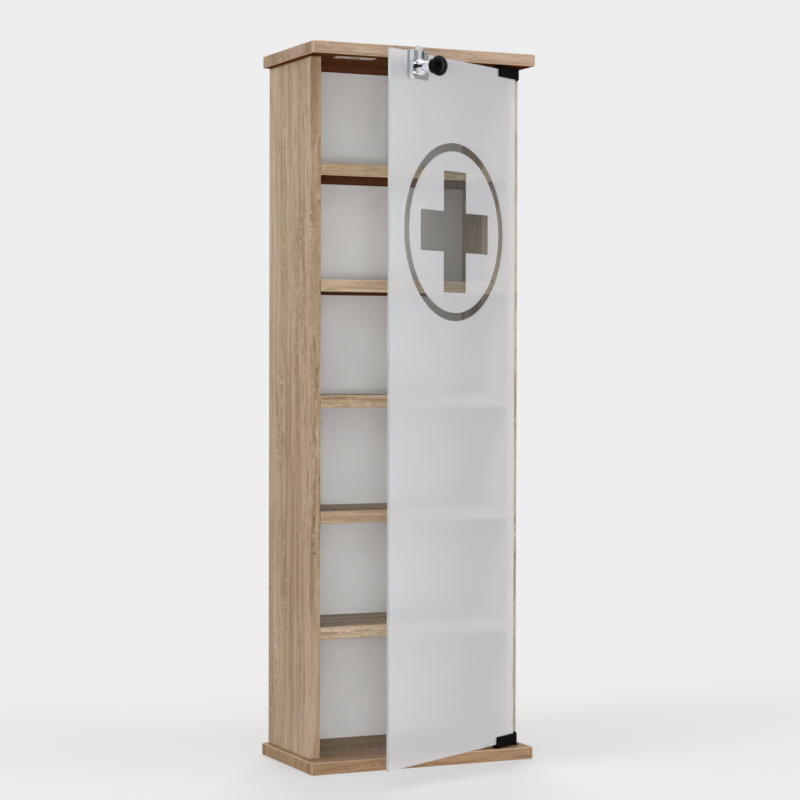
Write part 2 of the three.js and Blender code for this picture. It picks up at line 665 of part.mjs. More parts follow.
function shelves() {
  const group = new THREE.Group();
  const corners = [['left', -1], ['right', 1]].flatMap(([hand, side]) => [
    { name: `${hand}_front`, side, y: shelfPinRows[0] },
    { name: `${hand}_back`, side, y: shelfPinRows[1] },
  ]);
  shelfTops.forEach((top, level) => {
    group.add(mesh(`shelf_${level + 1}`, shelf(top), oak));
    corners.forEach(({ name, side, y }) => group.add(
      mesh(`shelf_pin_${level + 1}_${name}`, shelfPin(top, side, y), steel)));
  });
  return group;
}

function latch() {
  const group = new THREE.Group();
  group.add(
    mesh('latch_body', latchBody(), chrome),
    mesh('latch_barrel', latchBarrel(), chrome),
    mesh('latch_clamp_pad', clampPad(), padRubber),
    mesh('latch_clamp_screw', clampScrew(), steel),
    mesh('latch_bolt', latchBolt(), chrome),
    mesh('knob_spindle', knobSpindle(), steel),
    mesh('knob', knob(), blackPlastic),
  );
  return group;
}

function door() {
  const group = new THREE.Group();
  group.add(mesh('door_glass', doorGlass(), frostedGlass), latch());
  hinges.forEach((hinge) => group.add(
    mesh(`${hinge.name}_hinge_cap`, hingeCap(hinge), blackPlastic),
    mesh(`${hinge.name}_hinge_pin`, hingePin(hinge), steel),
  ));
  group.position.set(pivotX, pivotY, 0);
  group.rotation.z = THREE.MathUtils.degToRad(DOOR_OPEN_ANGLE);
  return group;
}

const cabinet = new THREE.Group();
cabinet.add(carcass(), shelves(), door());

export default cabinet;
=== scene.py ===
"""Looks of a tall medicine cabinet with a frosted glass door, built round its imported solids, in metres.

The cabinet stands on z = 0 with its front towards -Y. Door pieces are drawn with the door shut, from
the hinge axis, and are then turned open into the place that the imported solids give.
"""

import json
import logging
import math
from contextlib import contextmanager
from dataclasses import dataclass, field
from enum import Enum
from functools import cache
from typing import Any, Callable, Iterator, Union

import bmesh
import bpy
from mathutils import Matrix, Vector

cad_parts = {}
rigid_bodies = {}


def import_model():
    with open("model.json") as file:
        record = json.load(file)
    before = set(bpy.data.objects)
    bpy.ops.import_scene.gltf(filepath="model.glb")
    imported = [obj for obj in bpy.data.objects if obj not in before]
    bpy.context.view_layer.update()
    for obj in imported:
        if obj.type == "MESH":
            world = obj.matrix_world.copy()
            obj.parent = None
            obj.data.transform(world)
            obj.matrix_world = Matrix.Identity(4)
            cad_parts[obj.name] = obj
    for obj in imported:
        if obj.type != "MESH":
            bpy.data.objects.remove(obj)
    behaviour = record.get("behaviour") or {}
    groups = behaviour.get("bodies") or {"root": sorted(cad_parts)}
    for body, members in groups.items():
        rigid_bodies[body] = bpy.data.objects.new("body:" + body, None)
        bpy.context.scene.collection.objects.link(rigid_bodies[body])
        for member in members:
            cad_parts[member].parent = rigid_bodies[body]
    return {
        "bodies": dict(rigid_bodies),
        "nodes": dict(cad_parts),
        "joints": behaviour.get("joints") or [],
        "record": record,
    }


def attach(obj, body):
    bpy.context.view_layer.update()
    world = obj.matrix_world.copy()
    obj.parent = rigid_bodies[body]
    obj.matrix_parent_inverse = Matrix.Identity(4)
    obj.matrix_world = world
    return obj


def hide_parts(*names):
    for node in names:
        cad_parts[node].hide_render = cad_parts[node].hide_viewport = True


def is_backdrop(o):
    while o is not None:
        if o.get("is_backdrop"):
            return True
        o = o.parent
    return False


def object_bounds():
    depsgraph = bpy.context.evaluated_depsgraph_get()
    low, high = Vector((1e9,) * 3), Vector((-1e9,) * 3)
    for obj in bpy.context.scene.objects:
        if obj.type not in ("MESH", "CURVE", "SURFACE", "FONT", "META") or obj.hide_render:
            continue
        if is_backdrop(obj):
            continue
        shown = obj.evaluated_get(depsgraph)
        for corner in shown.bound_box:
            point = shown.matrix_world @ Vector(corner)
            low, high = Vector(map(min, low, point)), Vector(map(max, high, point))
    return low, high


LOG = logging.getLogger("medicine_cabinet")
MM = 0.001
# Play between pieces, overshoot of cutters, and how far a blank starts outside its solid.
FIT = 0.3 * MM
CUT_PAST = 2 * MM
PROUD = 0.02 * MM
# How near counts as the same point, the same plane or the outline.
MERGE = 0.001 * MM
WELD = 0.01 * MM
SAME_PLANE = 0.05 * MM
NEAR_OUTLINE = 1 * MM
# Least share of a direction in the normal of a face that looks along it, and most on an eased edge.
FACING = 0.9
ASKEW = 0.97
ROD_STEPS = 24
SMOOTH_ANGLE = math.radians(32)
SHARP_ANGLE = math.radians(30)
GLASS_IOR = 1.5

# How far apart the stretches of decor lie that two neighbouring seeds show.
SEED_STEP = Vector((0.37, 0.61, 0.83))
FORWARD = Vector((0, -1, 0))
BACKWARD = Vector((0, 1, 0))
RIGHT = Vector((1, 0, 0))
UP = Vector((0, 0, 1))

Colour = tuple[float, float, float, float]
WHITE: Colour = (1.0, 1.0, 1.0, 1.0)
Operand = Union["Term", float]
Profile = list[tuple[float, float]]
EdgeTest = Callable[[Vector, Vector], bool]
FaceTest = Callable[[Vector, Vector], bool]


def srgb(red: int, green: int, blue: int) -> Colour:
    """Turn a display colour into the linear one that shaders take.

    Args:
        red: red share, 0 to 255.
        green: green share, 0 to 255.
        blue: blue share, 0 to 255.

    Returns:
        The linear colour, opaque.
    """
    def channel(value: int) -> float:
        """Linear value of one display channel."""
        share = value / 255
        return share / 12.92 if share <= 0.04045 else ((share + 0.055) / 1.055) ** 2.4

    return channel(red), channel(green), channel(blue), 1.0


BACKDROP = srgb(238, 238, 239)


@dataclass(frozen=True)
class Span:
    """A box by its lowest and highest corner."""

    low: Vector
    high: Vector

    @classmethod
    def between(cls, x: tuple[float, float], y: tuple[float, float], z: tuple[float, float]) -> "Span":
        """The box between three pairs of bounds, each in either order."""
        pairs = (sorted(x), sorted(y), sorted(z))
        return cls(Vector(pair[0] for pair in pairs), Vector(pair[1] for pair in pairs))

    @classmethod
    def around(cls, points: list[Vector]) -> "Span":
        """The least box that holds some points."""
        return cls(Vector(map(min, *points)), Vector(map(max, *points)))

    @property
    def size(self) -> Vector:
        """Length along each axis."""
        return self.high - self.low

    @property
    def centre(self) -> Vector:
        """Middle point."""
        return (self.high + self.low) / 2

    def grown(self, margin: float) -> "Span":
        """The box with every face moved out."""
        step = Vector((margin, margin, margin))
        return Span(self.low - step, self.high + step)

    def depth(self, point: Vector) -> float:
        """How far a point lies inside the nearest face of the box."""
        return min(min(point[axis] - self.low[axis], self.high[axis] - point[axis]) for axis in range(3))


class CadFrame:
    """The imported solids: where each one lies, and the frame that the open door is turned by."""

    def __init__(self, packed: dict[str, Any]) -> None:
        """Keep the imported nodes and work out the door's frame.
        """
        self.nodes: dict[str, bpy.types.Object] = packed["nodes"]
        self.joints = {joint["name"]: joint for joint in packed["joints"]}
        self.box = Span(*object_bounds())
        hinge = self.joints["door_hinge"]
        opening = math.radians(-hinge["range_deg"][0])
        self.door = Matrix.Translation(Vector(hinge["pos_m"])) @ Matrix.Rotation(opening, 4, "Z")

    def span(self, node: str, axes: Matrix | None = None) -> Span:
        """Box of a node in a frame, or in the cabinet's own without one."""
        inverse = (axes or Matrix()).inverted()
        return Span.around([inverse @ vertex.co for vertex in self.nodes[node].data.vertices])

    def in_door(self, node: str) -> Span:
        """Box of a node from the hinge axis, with the door shut."""
        return self.span(node, self.door)

    def solid_copy(self, node: str) -> bpy.types.Object:
        """A closed copy of a node's solid to shape other meshes with.

        Args:
            node: the solid's name.

        Returns:
            The copy, with its triangles joined.
        """
        copy = bpy.data.objects.new(f"{node}_copy", self.nodes[node].data.copy())
        bpy.context.collection.objects.link(copy)
        with Bench.editing(copy):
            bpy.ops.mesh.select_all(action="SELECT")
            bpy.ops.mesh.remove_doubles(threshold=MERGE)
        copy.data.materials.clear()
        return copy


class Join(Enum):
    """Ways to combine two solids."""

    CUT = "DIFFERENCE"
    ADD = "UNION"
    KEEP = "INTERSECT"


class Bench:
    """Hand tools, each for one mesh at a time."""

    @staticmethod
    def take(piece: bpy.types.Object) -> None:
        """Select one piece and nothing else.

        Args:
            piece: the one to work on.
        """
        bpy.ops.object.select_all(action="DESELECT")
        piece.select_set(True)
        bpy.context.view_layer.objects.active = piece

    @staticmethod
    @contextmanager
    def editing(piece: bpy.types.Object) -> Iterator[None]:
        """Edit mode on one piece, with none of its mesh selected at the start.

        Args:
            piece: the one to edit.
        """
        Bench.take(piece)
        bpy.ops.object.mode_set(mode="EDIT")
        bpy.ops.mesh.select_mode(type="VERT")
        bpy.ops.mesh.select_all(action="DESELECT")
        yield
        bpy.ops.object.mode_set(mode="OBJECT")

    @staticmethod
    def box(name: str, span: Span) -> bpy.types.Object:
        """Add a box at its size and place.

        Args:
            name: the new piece's name.
            span: where it reaches.

        Returns:
            The box, with its place in its mesh.
        """
        bpy.ops.object.select_all(action="DESELECT")
        bpy.ops.mesh.primitive_cube_add(size=1, location=span.centre, scale=span.size)
        piece = bpy.context.active_object
        piece.name = name
        piece.data.name = name
        bpy.ops.object.transform_apply(location=True, rotation=True, scale=True)
        return piece

    @staticmethod
    def turned(name: str, profile: Profile, axis: Vector, origin: Vector, steps: int) -> bpy.types.Object:
        """Draw a profile point by point and spin it round an axis.

        Args:
            name: the new piece's name.
            profile: radius and distance along the axis, from pole to pole or closed on itself.
            axis: direction of the axis.
            origin: where the axis starts.
            steps: number of sides.

        Returns:
            The turned piece, with its seam closed and its faces pointing out.
        """
        bpy.ops.object.select_all(action="DESELECT")
        bpy.ops.mesh.primitive_plane_add(size=MM)
        piece = bpy.context.active_object
        piece.name = name
        piece.data.name = name
        points = [Vector((radius, 0, along)) for radius, along in profile]
        with Bench.editing(piece):
            bpy.ops.mesh.select_all(action="SELECT")
            bpy.ops.mesh.merge(type="CENTER")
            bpy.ops.transform.translate(value=points[0])
            for start, end in zip(points, points[1:]):
                bpy.ops.mesh.extrude_vertices_move(TRANSFORM_OT_translate={"value": end - start})
            bpy.ops.mesh.select_all(action="SELECT")
            bpy.ops.mesh.spin(steps=steps, angle=2 * math.pi, center=(0, 0, 0), axis=UP)
            bpy.ops.mesh.select_all(action="SELECT")
            bpy.ops.mesh.remove_doubles(threshold=MERGE)
            bpy.ops.mesh.normals_make_consistent(inside=False)
        turn = axis.to_track_quat("Z", "Y").to_matrix().to_4x4()
        return Bench.place(piece, Matrix.Translation(origin) @ turn)

    @staticmethod
    def rod(radius: float, length: float, axis: Vector, origin: Vector) -> bpy.types.Object:
        """A plain round cutter."""
        profile = [(0, 0), (radius, 0), (radius, length), (0, length)]
        return Bench.turned("rod_cutter", profile, axis, origin, ROD_STEPS)

    @staticmethod
    def place(piece: bpy.types.Object, matrix: Matrix) -> bpy.types.Object:
        """Move a piece and put its place into its mesh.

        Args:
            piece: what to move.
            matrix: where it goes.

        Returns:
            The same piece.
        """
        piece.matrix_world = matrix
        Bench.take(piece)
        bpy.ops.object.transform_apply(location=True, rotation=True, scale=True)
        return piece

    @staticmethod
    def pick_edges(piece: bpy.types.Object, test: EdgeTest) -> None:
        """In edit mode, select the edges whose ends pass a test.

        Args:
            piece: the mesh.
            test: takes both ends of an edge.
        """
        bpy.ops.mesh.select_mode(type="EDGE")
        shape = bmesh.from_edit_mesh(piece.data)
        for edge in shape.edges:
            edge.select_set(test(edge.verts[0].co, edge.verts[1].co))
        bmesh.update_edit_mesh(piece.data)

    @staticmethod
    def pick_faces(piece: bpy.types.Object, test: FaceTest) -> None:
        """In edit mode, select the faces whose middle and normal pass a test.

        Args:
            piece: the mesh.
            test: takes the middle and normal of a face.
        """
        bpy.ops.mesh.select_mode(type="FACE")
        shape = bmesh.from_edit_mesh(piece.data)
        for face in shape.faces:
            face.select_set(test(face.calc_center_median(), face.normal))
        bmesh.update_edit_mesh(piece.data)

    @staticmethod
    def ease(piece: bpy.types.Object, width: float, steps: int, test: EdgeTest | None = None) -> None:
        """Round off edges.

        Args:
            piece: the mesh.
            width: how far the rounding reaches from the edge.
            steps: its facets.
            test: picks the edges by their ends; without one every sharp edge is eased.
        """
        with Bench.editing(piece):
            if test is None:
                bpy.ops.mesh.select_mode(type="EDGE")
                bpy.ops.mesh.edges_select_sharp(sharpness=SHARP_ANGLE)
            else:
                Bench.pick_edges(piece, test)
            bpy.ops.mesh.bevel(offset=width, segments=steps, affect="EDGES", clamp_overlap=True)

    @staticmethod
    def extrude(piece: bpy.types.Object, test: FaceTest, move: Vector) -> None:
        """Pull the faces that a test picks out of a mesh.

        Args:
            piece: the mesh.
            test: takes the middle and normal of a face.
            move: how far they go.
        """
        with Bench.editing(piece):
            Bench.pick_faces(piece, test)
            bpy.ops.mesh.extrude_region_move(TRANSFORM_OT_translate={"value": move})

    @staticmethod
    def score(piece: bpy.types.Object, point: Vector, normal: Vector) -> None:
        """Cut new edges round a mesh where a plane meets it.

        Args:
            piece: the mesh.
            point: a point on the plane.
            normal: direction that the plane faces.
        """
        with Bench.editing(piece):
            bpy.ops.mesh.select_all(action="SELECT")
            bpy.ops.mesh.bisect(plane_co=point, plane_no=normal)

    @staticmethod
    def combine(piece: bpy.types.Object, other: bpy.types.Object, way: Join) -> None:
        """Cut, add or keep one solid by another, which is used up.

        Args:
            piece: the solid that stays.
            other: the solid that is used up.
            way: how the two are combined.
        """
        modifier = piece.modifiers.new(way.name, "BOOLEAN")
        modifier.operation = way.value
        modifier.solver = "EXACT"
        modifier.object = other
        Bench.take(piece)
        bpy.ops.object.modifier_apply(modifier=modifier.name)
        bpy.data.objects.remove(other)

    @staticmethod
    def cut(piece: bpy.types.Object, *cutters: bpy.types.Object) -> None:
        """Cut a piece by several cutters in turn."""
        for cutter in cutters:
            Bench.combine(piece, cutter, Join.CUT)

    @staticmethod
    def copy(piece: bpy.types.Object, name: str, matrix: Matrix) -> bpy.types.Object:
        """A copy of a piece with its own mesh, moved within it.

        Args:
            piece: the pattern.
            name: the copy's name.
            matrix: where the copy goes.

        Returns:
            The copy.
        """
        twin = bpy.data.objects.new(name, piece.data.copy())
        twin.data.name = name
        twin.data.transform(matrix)
        bpy.context.collection.objects.link(twin)
        return twin

    @staticmethod
    def clean(piece: bpy.types.Object) -> None:
        """Weld points that cuts left close together.

        Args:
            piece: the mesh.
        """
        with Bench.editing(piece):
            bpy.ops.mesh.select_all(action="SELECT")
            bpy.ops.mesh.remove_doubles(threshold=WELD)
            bpy.ops.mesh.dissolve_degenerate(threshold=WELD)

    @staticmethod
    def smooth(piece: bpy.types.Object) -> None:
        """Shade round stretches smooth and keep flats flat.

        Args:
            piece: the mesh.
        """
        Bench.take(piece)
        bpy.ops.object.shade_smooth_by_angle(angle=SMOOTH_ANGLE)
        modifier = piece.modifiers.new("flat faces lead", "WEIGHTED_NORMAL")
        modifier.keep_sharp = True
        bpy.ops.object.modifier_apply(modifier=modifier.name)

    @staticmethod
    def paint(piece: bpy.types.Object, finish: "Finish", test: FaceTest | None = None) -> None:
        """Give a finish to the faces that a test picks, or to all of them.

        Args:
            piece: the mesh.
            finish: what they are painted with.
            test: takes the middle and normal of a face; without one every face is painted.
        """
        piece.data.materials.append(finish.material())
        index = len(piece.data.materials) - 1
        for face in piece.data.polygons:
            if test is None or test(face.center, face.normal):
                face.material_index = index


def hand_over(piece: bpy.types.Object, body: str, slot: str, *nodes: str) -> None:
    """Let a finished piece stand for its solids.

    Args:
        piece: the finished mesh, in place.
        body: the moving body that carries it.
        slot: the record's material slot; not used.
        nodes: the solids that it stands for.
    """
    Bench.clean(piece)
    Bench.smooth(piece)
    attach(piece, body)
    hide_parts(*nodes)
    LOG.info("%s: %d faces, on %s, for %s", piece.name, len(piece.data.polygons), body, ", ".join(nodes))


class Term:
    """A shader socket that can stand in an expression."""

    def __init__(self, graph: "ShaderGraph", socket: bpy.types.NodeSocket) -> None:
        """Wrap one output socket of a graph."""
        self.graph = graph
        self.socket = socket

    def _math(self, operation: str, first: Operand, second: Operand) -> "Term":
        """Add a Math node."""
        return self.graph.node("ShaderNodeMath", {"operation": operation}, {0: first, 1: second})

    def __add__(self, other: Operand) -> "Term":
        """Sum."""
        return self._math("ADD", self, other)

    def __radd__(self, other: Operand) -> "Term":
        """Sum, from the right."""
        return self._math("ADD", other, self)

    def __sub__(self, other: Operand) -> "Term":
        """Difference."""
        return self._math("SUBTRACT", self, other)

    def __rsub__(self, other: Operand) -> "Term":
        """Difference, from the right."""
        return self._math("SUBTRACT", other, self)

    def __mul__(self, other: Operand) -> "Term":
        """Product."""
        return self._math("MULTIPLY", self, other)

    def __rmul__(self, other: Operand) -> "Term":
        """Product, from the right."""
        return self._math("MULTIPLY", other, self)

    def rise(self, start: float, end: float) -> "Term":
        """A smooth step from 0 at start to 1 at end, which may be the lower of the two.

        Args:
            start: where the step is 0.
            end: where it is 1.

        Returns:
            The step.
        """
        settings = {"interpolation_type": "SMOOTHSTEP"}
        low, high = sorted((start, end))
        climb = self.graph.node("ShaderNodeMapRange", settings, {0: self, 1: low, 2: high})
        return climb if start < end else 1 - climb

    def twin(self, output: str) -> "Term":
        """Another output of the same node."""
        return Term(self.graph, self.socket.node.outputs[output])


class ShaderGraph:
    """A shader that grows node by node."""

    def __init__(self, tree: bpy.types.NodeTree) -> None:
        """Start with an empty tree."""
        self.tree = tree
        tree.nodes.clear()

    def node(
        self,
        kind: str,
        settings: dict[str, Any] | None = None,
        inputs: dict[str | int, Any] | None = None,
        output: str | int = 0,
    ) -> Term:
        """Add a node.

        Args:
            kind: Blender's name of the node's type.
            settings: its properties, and the stops of a ramp, which are set first.
            inputs: values or terms for its sockets, by name or number.
            output: the socket that the result stands for.

        Returns:
            The chosen output.
        """
        made = self.tree.nodes.new(kind)
        for name, value in (settings or {}).items():
            if name == "stops":
                self._set_stops(made.color_ramp, value)
            else:
                setattr(made, name, value)
        for key, value in (inputs or {}).items():
            if isinstance(value, Term):
                self.tree.links.new(value.socket, made.inputs[key])
            else:
                made.inputs[key].default_value = value
        return Term(self, made.outputs[output] if len(made.outputs) else None)

    @staticmethod
    def _set_stops(ramp: bpy.types.ColorRamp, stops: list[tuple[float, Colour]]) -> None:
        """Give a colour ramp its stops, in rising order.

        Args:
            ramp: the node's ramp.
            stops: place and colour of each stop.
        """
        while len(ramp.elements) < len(stops):
            ramp.elements.new(1.0)
        for element, (position, colour) in zip(ramp.elements, stops):
            element.position = position
            element.color = colour

    def place(self, offset: Vector = Vector()) -> Term:
        """Object coordinates, moved by an offset so that pieces differ."""
        place = self.node("ShaderNodeTexCoord", output="Object")
        return self.node("ShaderNodeMapping", inputs={"Vector": place, "Location": offset})

    def stretch(self, place: Term, scale: Vector) -> Term:
        """Coordinates multiplied axis by axis."""
        return self.node("ShaderNodeVectorMath", {"operation": "MULTIPLY"}, {0: place, 1: scale})

    def noise(self, place: Term, detail: float = 2.0, roughness: float = 0.5, scale: float = 1.0) -> Term:
        """Cloudy noise about 0.5."""
        inputs = {"Vector": place, "Scale": scale, "Detail": detail, "Roughness": roughness}
        return self.node("ShaderNodeTexNoise", inputs=inputs)

    def ramp(self, value: Term, stops: list[tuple[float, Colour]]) -> Term:
        """Colours along a value."""
        return self.node("ShaderNodeValToRGB", {"stops": stops}, {0: value})

    def mix(self, share: Operand, first: Term | Colour, second: Term | Colour) -> Term:
        """A colour that goes from first to second as the share rises."""
        return self.node("ShaderNodeMix", {"data_type": "RGBA"}, {0: share, 6: first, 7: second}, 2)

    def tinted(self, colour: Term, tone_and_painted_light: Colour) -> Term:
        """A colour multiplied by another, channel by channel."""
        settings = {"data_type": "RGBA", "blend_type": "MULTIPLY"}
        return self.node("ShaderNodeMix", settings, {0: 1.0, 6: colour, 7: tone_and_painted_light}, 2)

    def bump(self, height: Term, distance: float, strength: float) -> Term:
        """A normal tilted by a height."""
        inputs = {"Height": height, "Distance": distance, "Strength": strength}
        return self.node("ShaderNodeBump", inputs=inputs)

    def principled(self, inputs: dict[str, Any]) -> Term:
        """The surface shader."""
        return self.node("ShaderNodeBsdfPrincipled", inputs=inputs)

    def in_sight(self) -> Term:
        """1 for what is looked at, also in polished metal and through glass; 0 for light passed on."""
        path = self.node("ShaderNodeLightPath", output="Is Camera Ray")
        return path + path.twin("Is Glossy Ray") + path.twin("Is Transmission Ray")


@dataclass(frozen=True)
class Finish:
    """A surface finish. Equal finishes share one material."""

    name: str

    def shade(self, graph: ShaderGraph) -> Term:
        """Build the shader in a graph and give its output."""
        raise NotImplementedError

    @cache
    def material(self) -> bpy.types.Material:
        """The finish as a material.

        Returns:
            The material, made once for equal finishes.
        """
        material = bpy.data.materials.new(self.name)
        material.use_nodes = True
        graph = ShaderGraph(material.node_tree)
        graph.node("ShaderNodeOutputMaterial", inputs={"Surface": self.shade(graph)})
        return material


class Grain(Enum):
    """Direction that wood grain or brushed lines run in."""

    ACROSS = (1, 0, 0)
    UPRIGHT = (0, 0, 1)

    def scale(self, along: float, athwart: float) -> Vector:
        """Scale of a pattern along the grain and athwart it."""
        return Vector(along if share else athwart for share in self.value)

    @property
    def sideways(self) -> Vector:
        """One on each axis athwart the grain."""
        return Vector((1, 1, 1)) - Vector(self.value)


@dataclass(frozen=True)
class SawnOak(Finish):
    """Light oak decor: soft bands and streaks, dark spikes, small curls and ladders of saw ticks."""

    grain: Grain = Grain.UPRIGHT
    seed: int = 0
    # Multiplies the colour: a tone on some boards, painted light and shade on others.
    tone_and_painted_light: Colour = WHITE
    sheen: float = 0.30
    spread: float = 0.092
    sway: float = 1.0
    drift_reach: float = 0.034
    ripple_reach: float = 0.010
    relief: float = 0.12 * MM
    pale: Colour = srgb(197, 178, 153)
    tan: Colour = srgb(177, 155, 128)
    brown: Colour = srgb(147, 121, 92)
    pink: Colour = srgb(184, 158, 138)
    olive: Colour = srgb(166, 149, 116)
    fleck: Colour = srgb(108, 84, 59)
    tick: Colour = srgb(216, 199, 175)

    def shade(self, graph: ShaderGraph) -> Term:
        """Layer the pattern from its broad bands down to its fibres and saw marks.

        Args:
            graph: the shader to add nodes to.

        Returns:
            The surface's output.
        """
        wood = self.swayed(graph)

        def layer(along: float, athwart: float, detail: float = 1.0) -> Term:
            """Noise drawn out along the grain, by its marks to a metre each way."""
            return graph.noise(graph.stretch(wood, self.grain.scale(along, athwart)), detail, 0.58)

        band = layer(1.0, 24.0, 2.0)
        hue = layer(1.6, 26.0, 2.0)
        streak = layer(3.6, 150.0, 3.0)
        strand = layer(9.0, 340.0, 2.0)
        fibre = layer(30.0, 1000.0, 2.0)
        pore = layer(55.0, 430.0)
        spike = layer(17.0, 170.0)
        curl = layer(110.0, 260.0, 2.0)
        figure = layer(4.5, 13.0)
        sawn = layer(9.0, 28.0)
        rung = layer(240.0, 8.0)
        column = layer(16.0, 150.0).rise(0.56, 0.63) * sawn.rise(0.55, 0.62)
        curly = figure.rise(0.54, 0.64)
        dark_mark = spike.rise(0.59, 0.72) * figure.rise(0.48, 0.62) * 0.55
        dark_mark = dark_mark + curl.rise(0.57, 0.68) * curly * 0.34
        dark_mark = dark_mark + rung.rise(0.46, 0.38) * column * 0.40
        pale_mark = curl.rise(0.43, 0.32) * curly * 0.38 + rung.rise(0.55, 0.63) * column * 0.45
        tone = band * 0.44 + streak * 0.37 + strand * 0.19
        stops = [(0.5 - self.spread, self.brown), (0.5, self.tan), (0.5 + self.spread, self.pale)]
        colour = graph.ramp(tone, stops)
        colour = graph.mix(hue.rise(0.51, 0.64) * 0.40, colour, self.pink)
        colour = graph.mix(hue.rise(0.49, 0.36) * 0.48, colour, self.olive)
        colour = graph.mix(fibre.rise(0.54, 0.72) * 0.15, colour, self.brown)
        colour = graph.mix(pore.rise(0.57, 0.70) * 0.36, colour, self.fleck)
        colour = graph.mix(dark_mark, colour, self.fleck)
        colour = graph.mix(pale_mark, colour, self.tick)
        colour = graph.tinted(colour, self.tone_and_painted_light)
        return graph.principled({
            "Base Color": colour,
            "Roughness": 0.50 + fibre * 0.12,
            "Specular IOR Level": self.sheen,
            "Normal": graph.bump(fibre * 0.5 + pale_mark * 0.6 - dark_mark, self.relief, 0.35),
        })

    def swayed(self, graph: ShaderGraph) -> Term:
        """Coordinates that wander a little to the sides, as the grain does.

        Args:
            graph: the shader to add nodes to.

        Returns:
            The coordinates.
        """
        place = graph.place(SEED_STEP * self.seed)
        drift = graph.noise(graph.stretch(place, self.grain.scale(3.0, 7.0)), 2.0)
        ripple = graph.noise(graph.stretch(place, self.grain.scale(14.0, 24.0)), 1.0)
        reach = (drift - 0.5) * (self.drift_reach * self.sway)
        reach = reach + (ripple - 0.5) * (self.ripple_reach * self.sway)
        sway = graph.node("ShaderNodeVectorMath", {"operation": "SCALE"},
                          {0: self.grain.sideways, "Scale": reach})
        return graph.node("ShaderNodeVectorMath", {"operation": "ADD"}, {0: place, 1: sway})


@dataclass(frozen=True)
class Chipboard(Finish):
    """Bare particle board on cut edges and in holes."""

    light: Colour = srgb(196, 166, 124)
    dark: Colour = srgb(128, 96, 62)
    chip_scale: float = 620.0
    shade_scale: float = 700.0
    dust_scale: float = 900.0
    relief: float = 0.3 * MM

    def shade(self, graph: ShaderGraph) -> Term:
        """Scatter chips of several browns.

        Args:
            graph: the shader to add nodes to.

        Returns:
            The surface's output.
        """
        place = graph.place()
        inputs = {"Vector": place, "Scale": self.chip_scale}
        chip = graph.node("ShaderNodeTexVoronoi", {"feature": "F1"}, inputs)
        cell = graph.noise(chip.twin("Position"), 1.0, scale=self.shade_scale)
        dust = graph.noise(place, 3.0, scale=self.dust_scale)
        colour = graph.ramp(cell * 0.7 + dust * 0.3, [(0.38, self.dark), (0.60, self.light)])
        height = cell * 0.6 + dust * 0.4
        return graph.principled({
            "Base Color": colour,
            "Roughness": 0.82 + dust * 0.12,
            "Normal": graph.bump(height, self.relief, 0.5),
        })


@dataclass(frozen=True)
class Speckled(Finish):
    """A plain surface with a faint cloud and a fine grain, such as paint, plastic or plated metal."""

    base: Colour = srgb(200, 200, 200)
    shadow: Colour = srgb(180, 180, 180)
    gloss: tuple[float, float] = (0.4, 0.5)
    grain_scale: float = 900.0
    grain_depth: float = 0.03 * MM
    cloud_scale: float = 14.0
    metal: float = 0.0
    sheen: float = 0.5

    def shade(self, graph: ShaderGraph) -> Term:
        """Vary the colour in clouds and the gloss with the grain.

        Args:
            graph: the shader to add nodes to.

        Returns:
            The surface's output.
        """
        place = graph.place()
        cloud = graph.noise(place, 3.0, scale=self.cloud_scale)
        grain = graph.noise(place, 2.0, scale=self.grain_scale)
        smooth, dull = self.gloss
        return graph.principled({
            "Base Color": graph.ramp(cloud * 0.7 + grain * 0.3, [(0.38, self.shadow), (0.58, self.base)]),
            "Metallic": self.metal,
            "Roughness": smooth + grain.rise(0.35, 0.65) * (dull - smooth),
            "Specular IOR Level": self.sheen,
            "Normal": graph.bump(grain, self.grain_depth, 0.4),
        })


@dataclass(frozen=True)
class Brushed(Finish):
    """Metal or wood with fine lines along one direction."""

    base: Colour = srgb(190, 190, 190)
    shadow: Colour = srgb(150, 150, 150)
    gloss: tuple[float, float] = (0.28, 0.42)
    grain: Grain = Grain.ACROSS
    metal: float = 1.0
    line_scale: tuple[float, float] = (45.0, 2600.0)
    line_depth: float = 0.02 * MM
    cloud_scale: float = 70.0

    def shade(self, graph: ShaderGraph) -> Term:
        """Draw the lines out along the grain.

        Args:
            graph: the shader to add nodes to.

        Returns:
            The surface's output.
        """
        place = graph.place()
        line = graph.noise(graph.stretch(place, self.grain.scale(*self.line_scale)), 2.0)
        cloud = graph.noise(place, 2.0, scale=self.cloud_scale)
        smooth, dull = self.gloss
        return graph.principled({
            "Base Color": graph.ramp(line * 0.6 + cloud * 0.4, [(0.36, self.shadow), (0.62, self.base)]),
            "Metallic": self.metal,
            "Roughness": smooth + line.rise(0.3, 0.7) * (dull - smooth),
            "Normal": graph.bump(line, self.line_depth, 0.3),
        })


@dataclass(frozen=True)
class Glow(Finish):
    """An even white glow."""

    strength: float = 1.0

    def shade(self, graph: ShaderGraph) -> Term:
        """Shine evenly."""
        return graph.node("ShaderNodeEmission", inputs={"Color": WHITE, "Strength": self.strength})


@dataclass(frozen=True)
class Glass(Finish):
    """Glass whose surface is frosted, ground or clear."""

    body: Colour = WHITE
    through: float = 1.0
    gloss: tuple[float, float] = (0.0, 0.012)
    grain_scale: float = 1400.0
    cloud_scale: float = 6.0
    dimming: float = 0.985

    def shade(self, graph: ShaderGraph) -> Term:
        """Let a share of the light through and scatter the rest.

        Args:
            graph: the shader to add nodes to.

        Returns:
            The surface's output.
        """
        place = graph.place()
        grain = graph.noise(place, 2.0, scale=self.grain_scale)
        cloud = graph.noise(place, 2.0, scale=self.cloud_scale)
        smooth, dull = self.gloss
        dimmer = tuple(self.dimming * channel for channel in self.body[:3]) + (1.0,)
        return graph.principled({
            "Base Color": graph.ramp(cloud * 0.6 + grain * 0.4, [(0.40, dimmer), (0.60, self.body)]),
            "Roughness": smooth + grain.rise(0.35, 0.65) * (dull - smooth),
            "IOR": GLASS_IOR,
            "Transmission Weight": self.through,
        })
